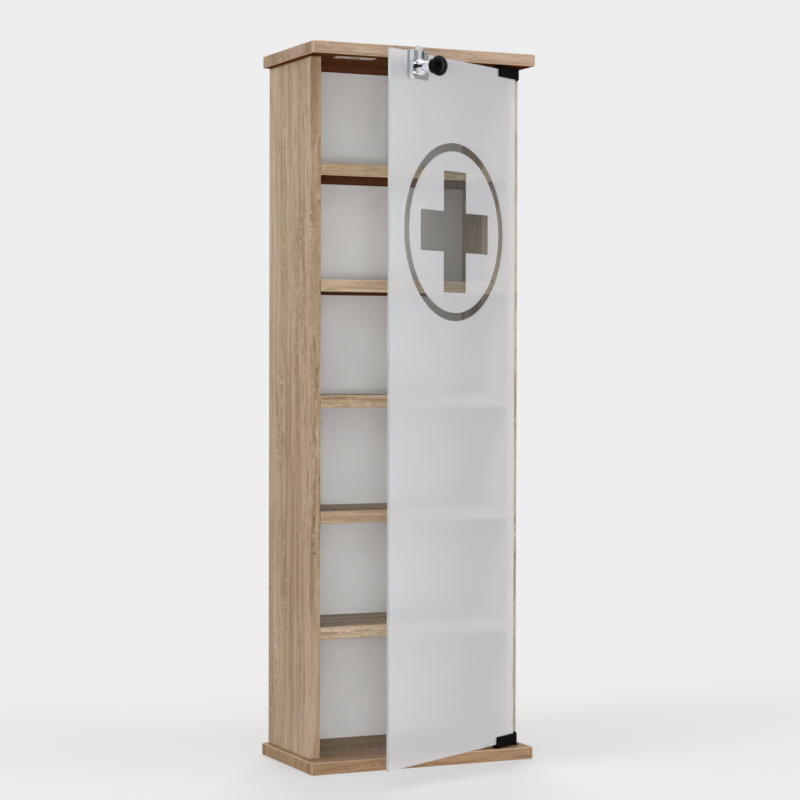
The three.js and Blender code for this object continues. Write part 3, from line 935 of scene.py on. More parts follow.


# Each of these multiplies the decor's colour: some set a tone, others paint in light and shade, as
# marked.
PANEL_DYE: Colour = (1.03, 1.06, 1.07, 1.0)
# Painted shade: the top board's decor is darkened.
TOP_PAINTED_SHADE: Colour = (0.88, 0.84, 0.865, 1.0)
# Painted shade: the base board's decor is darkened and warmed, as it sits low by the floor.
BASE_PAINTED_SHADE: Colour = (0.78, 0.67, 0.55, 1.0)
# The left panel's band gets a tone; the right one's is lightened and cooled as painted light.
BAND_TONES_AND_PAINTED_LIGHT: tuple[Colour, Colour] = ((0.97, 0.95, 0.93, 1.0), (1.01, 1.11, 1.26, 1.0))
SHELF_DYE: Colour = (1.05, 1.04, 1.02, 1.0)
SHELF_SWAY = 0.3
# Painted shade: undersides of boards and shelves are darkened and browned.
UNDERSIDE_PAINTED_SHADE: Colour = (0.42, 0.21, 0.125, 1.0)
UNDERSIDE_SHEEN = 0.0
NARROW_SPREAD = 0.062

RAW_BOARD = Chipboard("bare_particle_board")
# Painted highlight: eased edges are lighter, where they catch the light.
ARRIS_PAINTED_HIGHLIGHT = Speckled("oak_arris_painted_highlight", srgb(196, 177, 151), srgb(176, 155, 128), (0.45, 0.60),
                      grain_scale=260.0, sheen=0.3)
BASE_ARRIS_PAINTED_HIGHLIGHT = Speckled("oak_base_arris_painted_highlight", srgb(196, 168, 137), srgb(178, 149, 119), (0.45, 0.60),
                      grain_scale=260.0, sheen=0.3)
WHITE_FACE = Speckled("white_back_face", srgb(242, 242, 241), srgb(235, 235, 234), (0.45, 0.55),
                      grain_scale=1300.0)
HARDBOARD = Speckled("brown_hardboard", srgb(158, 122, 86), srgb(152, 117, 82), (0.7, 0.85),
                     grain_scale=1500.0, grain_depth=0.1 * MM)
FROSTED = Glass("frosted_face", srgb(238, 245, 252), through=0.48, gloss=(0.20, 0.25))
CLEAR = Glass("clear_face", srgb(250, 253, 252), grain_scale=300.0)
GROUND_EDGE = Glass("ground_edge", srgb(208, 214, 214), through=0.45, gloss=(0.30, 0.42))
# Painted shade: the sign's clear glass is tinted grey, darkening the inside seen through it.
SIGN_GLASS_PAINTED_SHADE = Glass("sign_clear_painted_shade", srgb(204, 205, 202), grain_scale=300.0)
# Painted shade: the sign's sloping walls are darker, as a dark line along its outline.
SIGN_EDGE_PAINTED_SHADE = Glass("sign_edge_painted_shade", srgb(150, 155, 158), through=0.50, gloss=(0.28, 0.34))
BRIGHT_CHROME = Speckled("bright_chrome", srgb(226, 228, 231), srgb(218, 220, 224), (0.04, 0.08),
                         grain_scale=130.0, grain_depth=0.3 * MM, metal=1.0)
SATIN_CHROME = Speckled("satin_chrome", srgb(228, 230, 233), srgb(218, 220, 224), (0.24, 0.32),
                        grain_scale=420.0, grain_depth=0.01 * MM, metal=1.0)
WARM_ZINC = Speckled("warm_zinc", srgb(226, 197, 170), srgb(208, 176, 148), (0.16, 0.26),
                     grain_scale=420.0, grain_depth=0.01 * MM, metal=1.0)
DULL_ZINC = Speckled("dull_zinc", srgb(196, 195, 190), srgb(164, 163, 158), (0.30, 0.46),
                     grain_scale=420.0, grain_depth=0.02 * MM, metal=1.0)
SATIN_BLACK = Speckled("satin_black_plastic", srgb(8, 6, 4), srgb(6, 4, 3), (0.42, 0.52),
                       grain_scale=1600.0, sheen=0.025)
GLOSS_BLACK = Speckled("gloss_black_knob", srgb(7, 6, 5), srgb(5, 4, 4), (0.10, 0.16),
                       grain_scale=700.0, grain_depth=0.004 * MM, sheen=0.07)
PAD_RUBBER = Speckled("pad_rubber_black", srgb(44, 43, 42), srgb(32, 31, 31), (0.75, 0.88),
                      grain_scale=1300.0, grain_depth=0.06 * MM)
TURNED_STEEL = Brushed("turned_steel", srgb(186, 186, 184), srgb(150, 150, 148))
BEECH = Brushed("beech_dowel", srgb(206, 172, 126), srgb(178, 142, 98), (0.6, 0.75),
                grain=Grain.UPRIGHT, metal=0.0)
CARD_DARK = Glow("card_dark", 0.05)
CARD_GREY = Glow("card_grey", 0.36)
CARD_GLOW = Glow("card_glow", 12.0)


def on_arris(centre: Vector, normal: Vector) -> bool:
    """Whether a face lies on an eased edge, askew to every axis."""
    return max(map(abs, normal)) < ASKEW


def looking(*ways: Vector) -> FaceTest:
    """A test for faces that look along any of some directions."""
    return lambda centre, normal: any(normal.dot(way) > FACING for way in ways)


def inside(span: Span) -> FaceTest:
    """A test for faces well inside a box, as in the holes of a board."""
    return lambda centre, normal: span.depth(centre) > CUT_PAST


def either(*tests: FaceTest) -> FaceTest:
    """A test that passes where any of some tests does."""
    return lambda centre, normal: any(test(centre, normal) for test in tests)


def oak_underside_painted_shade(node: str, seed: int) -> SawnOak:
    """The decor below a board or shelf, darkened and browned as painted shade."""
    return SawnOak(f"oak_{node}_underside_painted_shade", Grain.ACROSS, seed, UNDERSIDE_PAINTED_SHADE, UNDERSIDE_SHEEN)


@dataclass
class Carcass:
    """Top and base board, side panels and back panel."""

    cad: CadFrame
    board_edge: float = 1.9 * MM
    panel_edge: float = 0.8 * MM
    back_edge: float = 0.3 * MM
    back_seat: float = 0.4 * MM
    edge_steps: int = 4
    band_shift: int = 8
    body: str = "cabinet"

    def build(self) -> None:
        """Make every board of the carcass."""
        self.board("top_board", 2, TOP_PAINTED_SHADE, ARRIS_PAINTED_HIGHLIGHT)
        self.board("base_board", 1, BASE_PAINTED_SHADE, BASE_ARRIS_PAINTED_HIGHLIGHT)
        for seed, node, band_tone_and_painted_light in zip((3, 4), ("left_side_panel", "right_side_panel"), BAND_TONES_AND_PAINTED_LIGHT):
            self.panel(node, seed, band_tone_and_painted_light)
        self.back()

    def blank(self, node: str, edge: float) -> tuple[bpy.types.Object, Span]:
        """A board with the holes of its solid and eased edges, apart from those of its rear face.

        Args:
            node: the solid that it stands for.
            edge: reach of the eased edges.

        Returns:
            The board and its box.
        """
        span = self.cad.span(node)
        piece = Bench.box(f"{node}_faced", span.grown(PROUD))
        rear = span.high.y - SAME_PLANE
        Bench.ease(piece, edge, self.edge_steps, lambda first, second: min(first.y, second.y) < rear)
        Bench.combine(piece, self.cad.solid_copy(node), Join.KEEP)
        return piece, span

    def board(self, node: str, seed: int, tone_and_painted_light: Colour, arris: Finish) -> None:
        """The top or base board: decor all round, bands on the ends, bare at the rear and in its holes.

        Args:
            node: the solid that it stands for.
            seed: which stretch of the decor it shows.
            tone_and_painted_light: colour that its decor is multiplied by.
            arris: finish of its eased edges, lighter as a painted highlight.
        """
        piece, span = self.blank(node, self.board_edge)
        # Painted shade: this board's decor and end bands are darkened by the multiplier passed in.
        Bench.paint(piece, SawnOak(f"oak_{node}", Grain.ACROSS, seed, tone_and_painted_light))
        # Painted shade on the underside.
        Bench.paint(piece, oak_underside_painted_shade(node, seed), looking(-UP))
        # Painted highlight on the eased edges.
        Bench.paint(piece, arris, on_arris)
        end_band = SawnOak(f"oak_{node}_end_band", Grain.UPRIGHT, seed + self.band_shift, tone_and_painted_light)
        Bench.paint(piece, end_band, looking(RIGHT, -RIGHT))
        Bench.paint(piece, RAW_BOARD, either(looking(BACKWARD), inside(span)))
        hand_over(piece, self.body, "oak_decor", node)

    def panel(self, node: str, seed: int, band_tone_and_painted_light: Colour) -> None:
        """A side panel: decor on its faces and front edge, bare at its ends, rear and in its holes.

        Args:
            node: the solid that it stands for.
            seed: which stretch of the decor it shows.
            band_tone_and_painted_light: colour that the band on its front edge is multiplied by.
        """
        piece, span = self.blank(node, self.panel_edge)
        Bench.paint(piece, SawnOak(f"oak_{node}", Grain.UPRIGHT, seed, PANEL_DYE))
        # On the right panel the band is lightened as painted light.
        band = SawnOak(f"oak_{node}_band", Grain.UPRIGHT, seed + self.band_shift, band_tone_and_painted_light)
        Bench.paint(piece, band, looking(FORWARD))
        # Painted highlight on the eased edges.
        Bench.paint(piece, ARRIS_PAINTED_HIGHLIGHT, on_arris)
        Bench.paint(piece, RAW_BOARD, either(looking(BACKWARD, UP, -UP), inside(span)))
        hand_over(piece, self.body, "oak_decor", node)

    def back(self) -> None:
        """The thin back panel, let in tightly: white towards the shelves, bare hardboard elsewhere."""
        span = self.cad.span("back_panel")
        seat = Vector((self.back_seat, 0, self.back_seat))
        piece = Bench.box("back_panel_faced", Span(span.low - seat, span.high + seat))
        Bench.ease(piece, self.back_edge, self.edge_steps)
        Bench.paint(piece, HARDBOARD)
        Bench.paint(piece, WHITE_FACE, looking(FORWARD))
        hand_over(piece, self.body, "white_board", "back_panel")


@dataclass
class Shelving:
    """Five shelves, each on four pins."""

    cad: CadFrame
    edge: float = 0.7 * MM
    edge_steps: int = 3
    count: int = 5
    seed: int = 10
    pin_chamfer: float = 0.6 * MM
    pin_steps: int = 24
    body: str = "cabinet"

    def build(self) -> None:
        """Make the shelves from the lowest up, with their pins."""
        for level in range(1, self.count + 1):
            self.shelf(f"shelf_{level}", level + self.seed)
        self.pins()

    def shelf(self, node: str, seed: int) -> None:
        """One shelf: decor above, below and in front, bare at the ends and rear.

        Args:
            node: the solid that it stands for.
            seed: which stretch of the decor it shows.
        """
        piece = Bench.box(f"{node}_faced", self.cad.span(node))
        Bench.ease(piece, self.edge, self.edge_steps)
        decor = SawnOak(f"oak_{node}", Grain.ACROSS, seed, SHELF_DYE,
                        spread=NARROW_SPREAD, sway=SHELF_SWAY)
        Bench.paint(piece, decor)
        # Painted shade on the underside.
        Bench.paint(piece, oak_underside_painted_shade(node, seed), looking(-UP))
        # Painted highlight on the eased edges.
        Bench.paint(piece, ARRIS_PAINTED_HIGHLIGHT, on_arris)
        Bench.paint(piece, RAW_BOARD, looking(BACKWARD, RIGHT, -RIGHT))
        hand_over(piece, self.body, "oak_decor", node)

    def pins(self) -> None:
        """Turn one pin and set a copy in each hole."""
        nodes = sorted(node for node in self.cad.nodes if node.startswith("shelf_pin_"))
        size = self.cad.span(nodes[0]).size
        radius, half = size.z / 2, size.x / 2
        tip = radius - self.pin_chamfer
        profile = [
            (0, -half),
            (tip, -half),
            (radius, self.pin_chamfer - half),
            (radius, half - self.pin_chamfer),
            (tip, half),
            (0, half),
        ]
        pattern = Bench.turned("shelf_pin_pattern", profile, RIGHT, Vector(), self.pin_steps)
        Bench.paint(pattern, TURNED_STEEL)
        for node in nodes:
            pin = Bench.copy(pattern, f"{node}_turned", Matrix.Translation(self.cad.span(node).centre))
            hand_over(pin, self.body, "steel", node)
        bpy.data.objects.remove(pattern)


@dataclass
class JoiningFittings:
    """Cam locks in the side panels, with the bolts and dowels that they draw together."""

    cad: CadFrame
    rim: float = 0.5 * MM
    slot_length: float = 9 * MM
    slot_width: float = 1.6 * MM
    slot_depth: float = 1.5 * MM
    steps: int = 40
    body: str = "cabinet"
    corners: tuple[str, ...] = ("left_base", "left_top", "right_base", "right_top")

    def build(self) -> None:
        """Make the cams and finish the hidden bolts and dowels."""
        for corner in self.corners:
            self.cam(corner)
            dress_solid(self.cad, f"cam_bolt_{corner}", TURNED_STEEL)
            dress_solid(self.cad, f"dowel_{corner}", BEECH)

    def cam(self, corner: str) -> None:
        """One cam: a drum flush with the panel, with a cross slot and a bore for its bolt.

        Args:
            corner: the side and the board that it joins.
        """
        node = f"cam_lock_{corner}"
        span = self.cad.span(node)
        outward = RIGHT if span.centre.x > 0 else -RIGHT
        face = Vector((span.low.x if span.centre.x > 0 else span.high.x, span.centre.y, span.centre.z))
        radius, length = span.size.z / 2, span.size.x
        profile = [
            (0, 0),
            (radius - self.rim, 0),
            (radius, self.rim),
            (radius, length),
            (0, length),
        ]
        piece = Bench.turned(f"{node}_turned", profile, outward, face, self.steps)
        long, short = self.slot_length / 2, self.slot_width / 2
        reach = (face.x - outward.x * CUT_PAST, face.x + outward.x * self.slot_depth)
        for half_y, half_z in ((long, short), (short, long)):
            Bench.cut(piece, Bench.box("slot_cutter", Span.between(
                reach,
                (face.y - half_y, face.y + half_y),
                (face.z - half_z, face.z + half_z),
            )))
        bolt = self.cad.span(f"cam_bolt_{corner}")
        start = Vector((bolt.centre.x, bolt.centre.y, bolt.low.z - FIT))
        Bench.cut(piece, Bench.rod(bolt.size.x / 2 + FIT, bolt.size.z + 2 * FIT, UP, start))
        Bench.paint(piece, DULL_ZINC)
        hand_over(piece, self.body, "zinc", node)


def dress_solid(cad: CadFrame, node: str, finish: Finish) -> None:
    """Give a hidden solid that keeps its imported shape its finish.

    Args:
        cad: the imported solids.
        node: the solid's name.
        finish: what it is made of.
    """
    mesh = cad.nodes[node].data
    mesh.materials.clear()
    mesh.materials.append(finish.material())
    LOG.info("%s keeps its packed shape", node)


@dataclass
class Strike:
    """The plate under the top board that the latch bolt catches in, and its two screws."""

    cad: CadFrame
    corner: float = 3 * MM
    corner_steps: int = 6
    arris: float = 0.15 * MM
    arris_steps: int = 2
    slot_length: float = 16 * MM
    slot_depth: float = 5.5 * MM
    slot_corner: float = 1.2 * MM
    screw_shank: float = 1.4 * MM
    screw_sink: float = 0.9 * MM
    screw_tip: float = 2.5 * MM
    recess_length: float = 3.2 * MM
    recess_width: float = 0.7 * MM
    recess_depth: float = 0.7 * MM
    steps: int = 32
    body: str = "cabinet"

    def build(self) -> None:
        """Make the plate and its screws."""
        screws = ("strike_screw_1", "strike_screw_2")
        self.plate([self.cad.span(screw) for screw in screws])
        for screw in screws:
            self.screw(screw)

    def plate(self, screws: list[Span]) -> None:
        """A thin plate with round corners, a slot for the bolt and sinks for the screws.

        Args:
            screws: boxes of the screws that hold it.
        """
        span = self.cad.span("strike_plate")
        piece = Bench.box("strike_plate_stamped", span)
        upright = self.upright_edge
        Bench.ease(piece, self.corner, self.corner_steps, upright)
        middle = span.centre
        slot = Bench.box("slot_cutter", Span.between(
            (middle.x - self.slot_length / 2, middle.x + self.slot_length / 2),
            (middle.y - self.slot_depth / 2, middle.y + self.slot_depth / 2),
            (span.low.z - CUT_PAST, span.high.z + CUT_PAST),
        ))
        Bench.ease(slot, self.slot_corner, self.corner_steps, upright)
        Bench.cut(piece, slot)
        for screw in screws:
            radius = screw.size.x / 2 + FIT
            profile = [
                (0, -CUT_PAST),
                (radius, -CUT_PAST),
                (radius, 0),
                (self.screw_shank + FIT, self.screw_sink),
                (self.screw_shank + FIT, CUT_PAST),
                (0, CUT_PAST),
            ]
            seat = Vector((screw.centre.x, screw.centre.y, span.low.z))
            Bench.cut(piece, Bench.turned("sink_cutter", profile, UP, seat, self.steps))
        Bench.ease(piece, self.arris, self.arris_steps, self.outline_edge(span))
        Bench.paint(piece, WARM_ZINC)
        hand_over(piece, self.body, "zinc", "strike_plate")

    @staticmethod
    def upright_edge(first: Vector, second: Vector) -> bool:
        """Whether an edge runs straight up."""
        return (first - second).to_2d().length < SAME_PLANE

    @staticmethod
    def outline_edge(span: Span) -> EdgeTest:
        """A test for the plate's lower outline.

        Args:
            span: the plate's box.

        Returns:
            The test, which takes both ends of an edge.
        """
        def test(first: Vector, second: Vector) -> bool:
            """Whether an edge lies on the lower face and the outline.

            Args:
                first: one end of the edge.
                second: its other end.

            Returns:
                True if it does.
            """
            low = max(first.z, second.z) < span.low.z + SAME_PLANE
            middle = (first + second) / 2
            side = min(middle.x - span.low.x, span.high.x - middle.x)
            front = min(middle.y - span.low.y, span.high.y - middle.y)
            return low and min(side, front) < NEAR_OUTLINE

        return test

    def screw(self, node: str) -> None:
        """A countersunk screw with a cross recess in its head.

        Args:
            node: the solid that it stands for.
        """
        span = self.cad.span(node)
        radius, length = span.size.x / 2, span.size.z
        profile = [
            (0, 0),
            (radius - self.arris, 0),
            (radius, self.arris),
            (self.screw_shank, self.screw_sink),
            (self.screw_shank, length - self.screw_tip),
            (0, length),
        ]
        foot = Vector((span.centre.x, span.centre.y, span.low.z))
        piece = Bench.turned(f"{node}_turned", profile, UP, foot, self.steps)
        long, short = self.recess_length / 2, self.recess_width / 2
        for half_x, half_y in ((long, short), (short, long)):
            Bench.cut(piece, Bench.box("recess_cutter", Span.between(
                (foot.x - half_x, foot.x + half_x),
                (foot.y - half_y, foot.y + half_y),
                (foot.z - CUT_PAST, foot.z + self.recess_depth),
            )))
        Bench.paint(piece, TURNED_STEEL)
        hand_over(piece, self.body, "steel", node)


@dataclass
class GlassDoor:
    """The frosted pane with its clear ring and cross."""

    cad: CadFrame
    arris: float = 0.35 * MM
    arris_steps: int = 2
    sign_drop: float = 221 * MM
    ring_diameter: float = 229 * MM
    ring_width: float = 11 * MM
    cross_span: float = 156 * MM
    cross_arm: float = 52 * MM
    depth: float = 0.4 * MM
    slope: float = 0.6 * MM
    ring_steps: int = 160
    body: str = "door"

    def build(self) -> None:
        """Make the pane and clear the sign out of its frosted face."""
        span = self.cad.in_door("door_glass")
        piece = Bench.box("door_glass_frosted", span)
        Bench.ease(piece, self.arris, self.arris_steps)
        centre = Vector((span.centre.x, span.low.y, span.high.z - self.sign_drop))
        Bench.cut(piece, self.ring(centre), self.cross(centre))
        Bench.paint(piece, CLEAR)
        # Painted shade: the clear sign is tinted grey.
        Bench.paint(piece, SIGN_GLASS_PAINTED_SHADE, looking(FORWARD))
        Bench.paint(piece, FROSTED, lambda middle, normal: middle.y < span.low.y + SAME_PLANE)
        # Painted shade on the sign's sloping walls.
        Bench.paint(piece, SIGN_EDGE_PAINTED_SHADE, on_arris)
        Bench.paint(piece, GROUND_EDGE, lambda middle, normal: self.on_edge(span, middle))
        Bench.place(piece, self.cad.door)
        hand_over(piece, self.body, "frosted_glass", "door_glass")

    def on_edge(self, span: Span, middle: Vector) -> bool:
        """Whether a face belongs to the pane's narrow edges.

        Args:
            span: the pane's box.
            middle: middle of the face.

        Returns:
            True if it does.
        """
        side = min(middle.x - span.low.x, span.high.x - middle.x)
        end = min(middle.z - span.low.z, span.high.z - middle.z)
        return min(side, end) < self.arris

    def ring(self, centre: Vector) -> bpy.types.Object:
        """Cutter of the ring, with sloping walls.

        Args:
            centre: middle of the sign, on the pane's front.

        Returns:
            The cutter.
        """
        outer = self.ring_diameter / 2
        inner = outer - self.ring_width
        profile = [
            (inner + self.slope, -self.depth),
            (outer - self.slope, -self.depth),
            (outer + self.slope, self.depth),
            (inner - self.slope, self.depth),
            (inner + self.slope, -self.depth),
        ]
        return Bench.turned("ring_cutter", profile, FORWARD, centre, self.ring_steps)

    def cross(self, centre: Vector) -> bpy.types.Object:
        """Cutter of the cross, with sloping walls.

        Args:
            centre: middle of the sign, on the pane's front.

        Returns:
            The cutter.
        """
        half = self.cross_arm / 2
        cutter = Bench.box("cross_cutter", Span.between(
            (centre.x - half, centre.x + half),
            (centre.y - CUT_PAST, centre.y),
            (centre.z - half, centre.z + half),
        ))
        reach = (self.cross_span - self.cross_arm) / 2
        for way in (RIGHT, -RIGHT, UP, -UP):
            Bench.extrude(cutter, self.arm_end(way, centre, half), way * reach)
        with Bench.editing(cutter):
            Bench.pick_faces(cutter, looking(BACKWARD))
            bpy.ops.mesh.inset(thickness=self.slope, depth=self.depth, use_boundary=True)
        return cutter

    @staticmethod
    def arm_end(way: Vector, centre: Vector, half: float) -> FaceTest:
        """A test for the face of the middle block that an arm grows from.

        Args:
            way: direction of the arm.
            centre: middle of the sign, on the pane's front.
            half: half the width of an arm.

        Returns:
            The test, which takes the middle and normal of a face.
        """
        def test(middle: Vector, normal: Vector) -> bool:
            """Whether a face looks along the arm and lies on the middle block."""
            offset = middle - centre - way * half
            return normal.dot(way) > FACING and abs(offset.x) + abs(offset.z) < SAME_PLANE

        return test


@dataclass
class Hinges:
    """Black caps that hold the pane's corners on pivot pins, and the bushes that the pins turn in."""

    cad: CadFrame
    wall_edge: float = 0.7 * MM
    edge_steps: int = 3
    grip: float = 10 * MM
    barrel_rise: float = 1.2 * MM
    bush_flange: float = 0.7 * MM
    bush_radius: float = 4 * MM
    dome_steps: int = 6
    steps: int = 32

    def build(self) -> None:
        """Make both caps and bushes and finish the pins."""
        pane = self.cad.in_door("door_glass")
        for hand, edge, into in (("lower", pane.low.z, 1), ("upper", pane.high.z, -1)):
            self.cap(f"{hand}_hinge_cap", f"{hand}_hinge_pin", pane, edge, into)
            self.bush(f"{hand}_hinge_bush", f"{hand}_hinge_pin", into)
            dress_solid(self.cad, f"{hand}_hinge_pin", TURNED_STEEL)

    def cap(self, node: str, pin_node: str, pane: Span, edge: float, into: int) -> None:
        """One cap: a footed arm over the pane's corner with a round barrel at its end.

        Args:
            node: the cap's solid.
            pin_node: the solid of the pin in its barrel.
            pane: the pane's box.
            edge: height of the pane's edge that it holds.
            into: 1 if the pane lies above that edge, else -1.
        """
        span = self.cad.in_door(node)
        pin = self.cad.in_door(pin_node)
        seat = edge - into * FIT
        start = span.low.z if into > 0 else span.high.z
        piece = Bench.box(f"{node}_moulded", Span.between(
            (span.low.x, 0), (span.low.y, span.high.y), (start, edge + into * self.grip)))
        Bench.ease(piece, self.wall_edge, self.edge_steps)
        rise = span.size.z - self.barrel_rise
        radius = span.high.x
        dome = [(radius * math.cos(angle), rise + self.barrel_rise * math.sin(angle))
                for angle in (math.pi / 2 * step / self.dome_steps for step in range(self.dome_steps))]
        profile = [(0, 0), (radius, 0), *dome, (0, span.size.z)]
        barrel = Bench.turned("hinge_barrel", profile, UP * into, Vector((0, 0, start)), self.steps)
        Bench.combine(piece, barrel, Join.ADD)
        Bench.cut(piece, Bench.box("pane_cutter", Span.between(
            (span.low.x - CUT_PAST, pane.high.x + FIT),
            (pane.low.y - FIT, pane.high.y + FIT),
            (seat, edge + into * (self.grip + CUT_PAST)),
        )))
        bottom = start - into * CUT_PAST
        top = (pin.high.z if into > 0 else pin.low.z) + into * FIT
        bore = Bench.rod(pin.size.y / 2 + FIT / 2, abs(top - bottom), UP * into, Vector((0, 0, bottom)))
        Bench.cut(piece, bore)
        Bench.paint(piece, SATIN_BLACK)
        Bench.place(piece, self.cad.door)
        hand_over(piece, "door", "black_plastic", node)

    def bush(self, node: str, pin_node: str, into: int) -> None:
        """A flanged bush in the board.

        Args:
            node: the bush's solid.
            pin_node: the solid of the pin that turns in it.
            into: 1 if the pane lies above the bush, else -1.
        """
        span = self.cad.span(node)
        bore = self.cad.in_door(pin_node).size.y / 2 + FIT
        flange, length = span.size.x / 2, span.size.z
        sleeve = length - self.bush_flange
        rim = self.bush_flange / 3
        profile = [
            (bore, 0),
            (self.bush_radius, 0),
            (self.bush_radius, sleeve),
            (flange, sleeve),
            (flange, length - rim),
            (flange - rim, length),
            (bore, length),
            (bore, 0),
        ]
        start = Vector((span.centre.x, span.centre.y, span.low.z if into > 0 else span.high.z))
        piece = Bench.turned(f"{node}_moulded", profile, UP * into, start, self.steps)
        Bench.paint(piece, SATIN_BLACK)
        hand_over(piece, "cabinet", "black_plastic", node)


@dataclass
class KnobLatch:
    """The chrome latch clamped over the pane's top edge, with its bolt, barrel and black knob."""

    cad: CadFrame
    lower_corner: float = 4 * MM
    jaw_corner: float = 3 * MM
    corner_steps: int = 6
    body_edge: float = 0.6 * MM
    edge_steps: int = 3
    jaw_height: float = 24 * MM
    floor: float = 1.2 * MM
    window_rise: float = 9 * MM
    crank_disc: float = 5.3 * MM
    flange_thickness: float = 1.5 * MM
    cone_length: float = 4 * MM
    barrel_radius: float = 7.6 * MM
    spindle_radius: float = 3 * MM
    knob_edge: float = 0.4 * MM
    knob_base: float = 9.2 * MM
    knob_base_length: float = 6 * MM
    knob_neck: float = 12.2 * MM
    knob_neck_length: float = 0.9 * MM
    knob_back: float = 4 * MM
    knob_bore_depth: float = 10.3 * MM
    dome_steps: int = 14
    lead_in: float = 0.7 * MM
    lead_in_steps: int = 3
    pad_edge: float = 0.4 * MM
    pad_steps: int = 2
    screw_slot_width: float = 0.9 * MM
    screw_slot_depth: float = 0.8 * MM
    screw_crown: float = 0.4 * MM
    steps: int = 56
    axis: Vector = field(init=False)

    def __post_init__(self) -> None:
        """Find the knob's axis in the door."""
        self.axis = self.cad.door.inverted() @ Vector(self.cad.joints["knob_turn"]["pos_m"])

    def build(self) -> None:
        """Make every piece of the latch that shows and finish the hidden spindle."""
        self.latch_body()
        self.barrel()
        self.knob()
        self.bolt()
        self.pad()
        self.clamp_screw()
        dress_solid(self.cad, "knob_spindle", TURNED_STEEL)

    def give(self, piece: bpy.types.Object, finish: Finish, body: str, slot: str, node: str) -> None:
        """Dress a latch piece, turn it open with the door and hand it over.

        Args:
            piece: the finished mesh, drawn with the door shut.
            finish: what it is made of.
            body: the moving body that carries it.
            slot: the record's material slot.
            node: the solid that it stands for.
        """
        Bench.paint(piece, finish)
        Bench.place(piece, self.cad.door)
        hand_over(piece, body, slot, node)

    def latch_body(self) -> None:
        """A block in front of the pane, a bridge over its edge and a jaw behind it."""
        span = self.cad.in_door("latch_body")
        pane = self.cad.in_door("door_glass")
        pad = self.cad.in_door("latch_clamp_pad")
        bolt = self.cad.in_door("latch_bolt")
        screw = self.cad.in_door("latch_clamp_screw")
        back = pane.low.y - FIT
        jaw_face = pad.high.y + FIT
        bridge = pane.high.z + FIT
        piece = Bench.box("latch_body_cast", Span.between(
            (span.low.x, span.high.x), (span.low.y, back), (span.low.z, span.high.z)))
        Bench.score(piece, Vector((0, 0, bridge)), UP)

        def above_pane(middle: Vector, normal: Vector) -> bool:
            """Whether a face looks back from above the pane."""
            return normal.y > FACING and middle.z > bridge

        Bench.extrude(piece, above_pane, BACKWARD * (jaw_face - back))
        Bench.extrude(piece, above_pane, BACKWARD * (span.high.y - jaw_face))
        Bench.extrude(piece, lambda middle, normal: normal.z < -FACING and middle.y > jaw_face,
                      -UP * (self.jaw_height - (span.high.z - bridge)))
        jaw_bottom = span.high.z - self.jaw_height
        for corner, height, rear in ((self.lower_corner, span.low.z, back),
                                     (self.jaw_corner, jaw_bottom, span.high.y)):
            Bench.ease(piece, corner, self.corner_steps, self.corner_edge(span, height, rear))
        Bench.ease(piece, self.body_edge, self.edge_steps)
        channel = Bench.box("channel_cutter", Span.between(
            (bolt.low.x - FIT, bolt.high.x + FIT), (bolt.low.y - FIT, bolt.high.y + FIT),
            (span.low.z + self.floor, span.high.z + CUT_PAST)))
        front = Vector((self.axis.x, bolt.low.y, self.axis.z))
        crank = Bench.rod(self.crank_disc + FIT, bolt.low.y - span.low.y + CUT_PAST, FORWARD, front)
        behind = Vector((screw.centre.x, jaw_face - CUT_PAST / 2, screw.centre.z))
        hole = Bench.rod(screw.size.z / 2 + FIT, span.high.y - jaw_face + CUT_PAST, BACKWARD, behind)
        window = Bench.box("window_cutter", Span.between(
            (bolt.low.x - FIT, bolt.high.x + FIT), (span.low.y - CUT_PAST, bolt.low.y),
            (self.axis.z + self.window_rise, span.high.z + CUT_PAST)))
        Bench.cut(piece, channel, crank, hole, window)
        Bench.paint(piece, BRIGHT_CHROME)
        Bench.paint(piece, SATIN_CHROME, lambda middle, normal: (
            abs(normal.x) > FACING and abs(middle.x - self.axis.x) < bolt.size.x))
        Bench.place(piece, self.cad.door)
        hand_over(piece, "door", "chrome", "latch_body")

    @staticmethod
    def corner_edge(span: Span, height: float, rear: float) -> EdgeTest:
        """A test for the two corner edges at one height that run from front to rear.

        Args:
            span: the latch body's box.
            height: height of the edges.
            rear: how far back they reach.

        Returns:
            The test, which takes both ends of an edge.
        """
        def test(first: Vector, second: Vector) -> bool:
            """Whether an edge runs front to rear at a corner.

            Args:
                first: one end of the edge.
                second: its other end.

            Returns:
                True if it does.
            """
            level = max(abs(first.z - height), abs(second.z - height)) < SAME_PLANE
            side = min(abs(first.x - span.low.x), abs(first.x - span.high.x)) < SAME_PLANE
            straight = abs(first.x - second.x) < SAME_PLANE
            return level and side and straight and max(first.y, second.y) < rear + SAME_PLANE

        return test

    def barrel(self) -> None:
        """A flanged collar that tapers to the tube under the knob."""
        span = self.cad.in_door("latch_barrel")
        bore = self.spindle_radius + FIT
        flange, length = span.size.z / 2, span.size.y
        rim = self.flange_thickness / 4
        profile = [
            (bore, 0),
            (flange, 0),
            (flange, self.flange_thickness - rim),
            (flange - rim, self.flange_thickness),
            (self.barrel_radius + rim, self.flange_thickness + self.cone_length - rim),
            (self.barrel_radius, self.flange_thickness + self.cone_length),
            (self.barrel_radius, length - rim),
            (self.barrel_radius - rim, length),
            (bore, length),
            (bore, 0),
        ]
        back = Vector((self.axis.x, span.high.y, self.axis.z))
        piece = Bench.turned("latch_barrel_turned", profile, FORWARD, back, self.steps)
        self.give(piece, BRIGHT_CHROME, "door", "chrome", "latch_barrel")

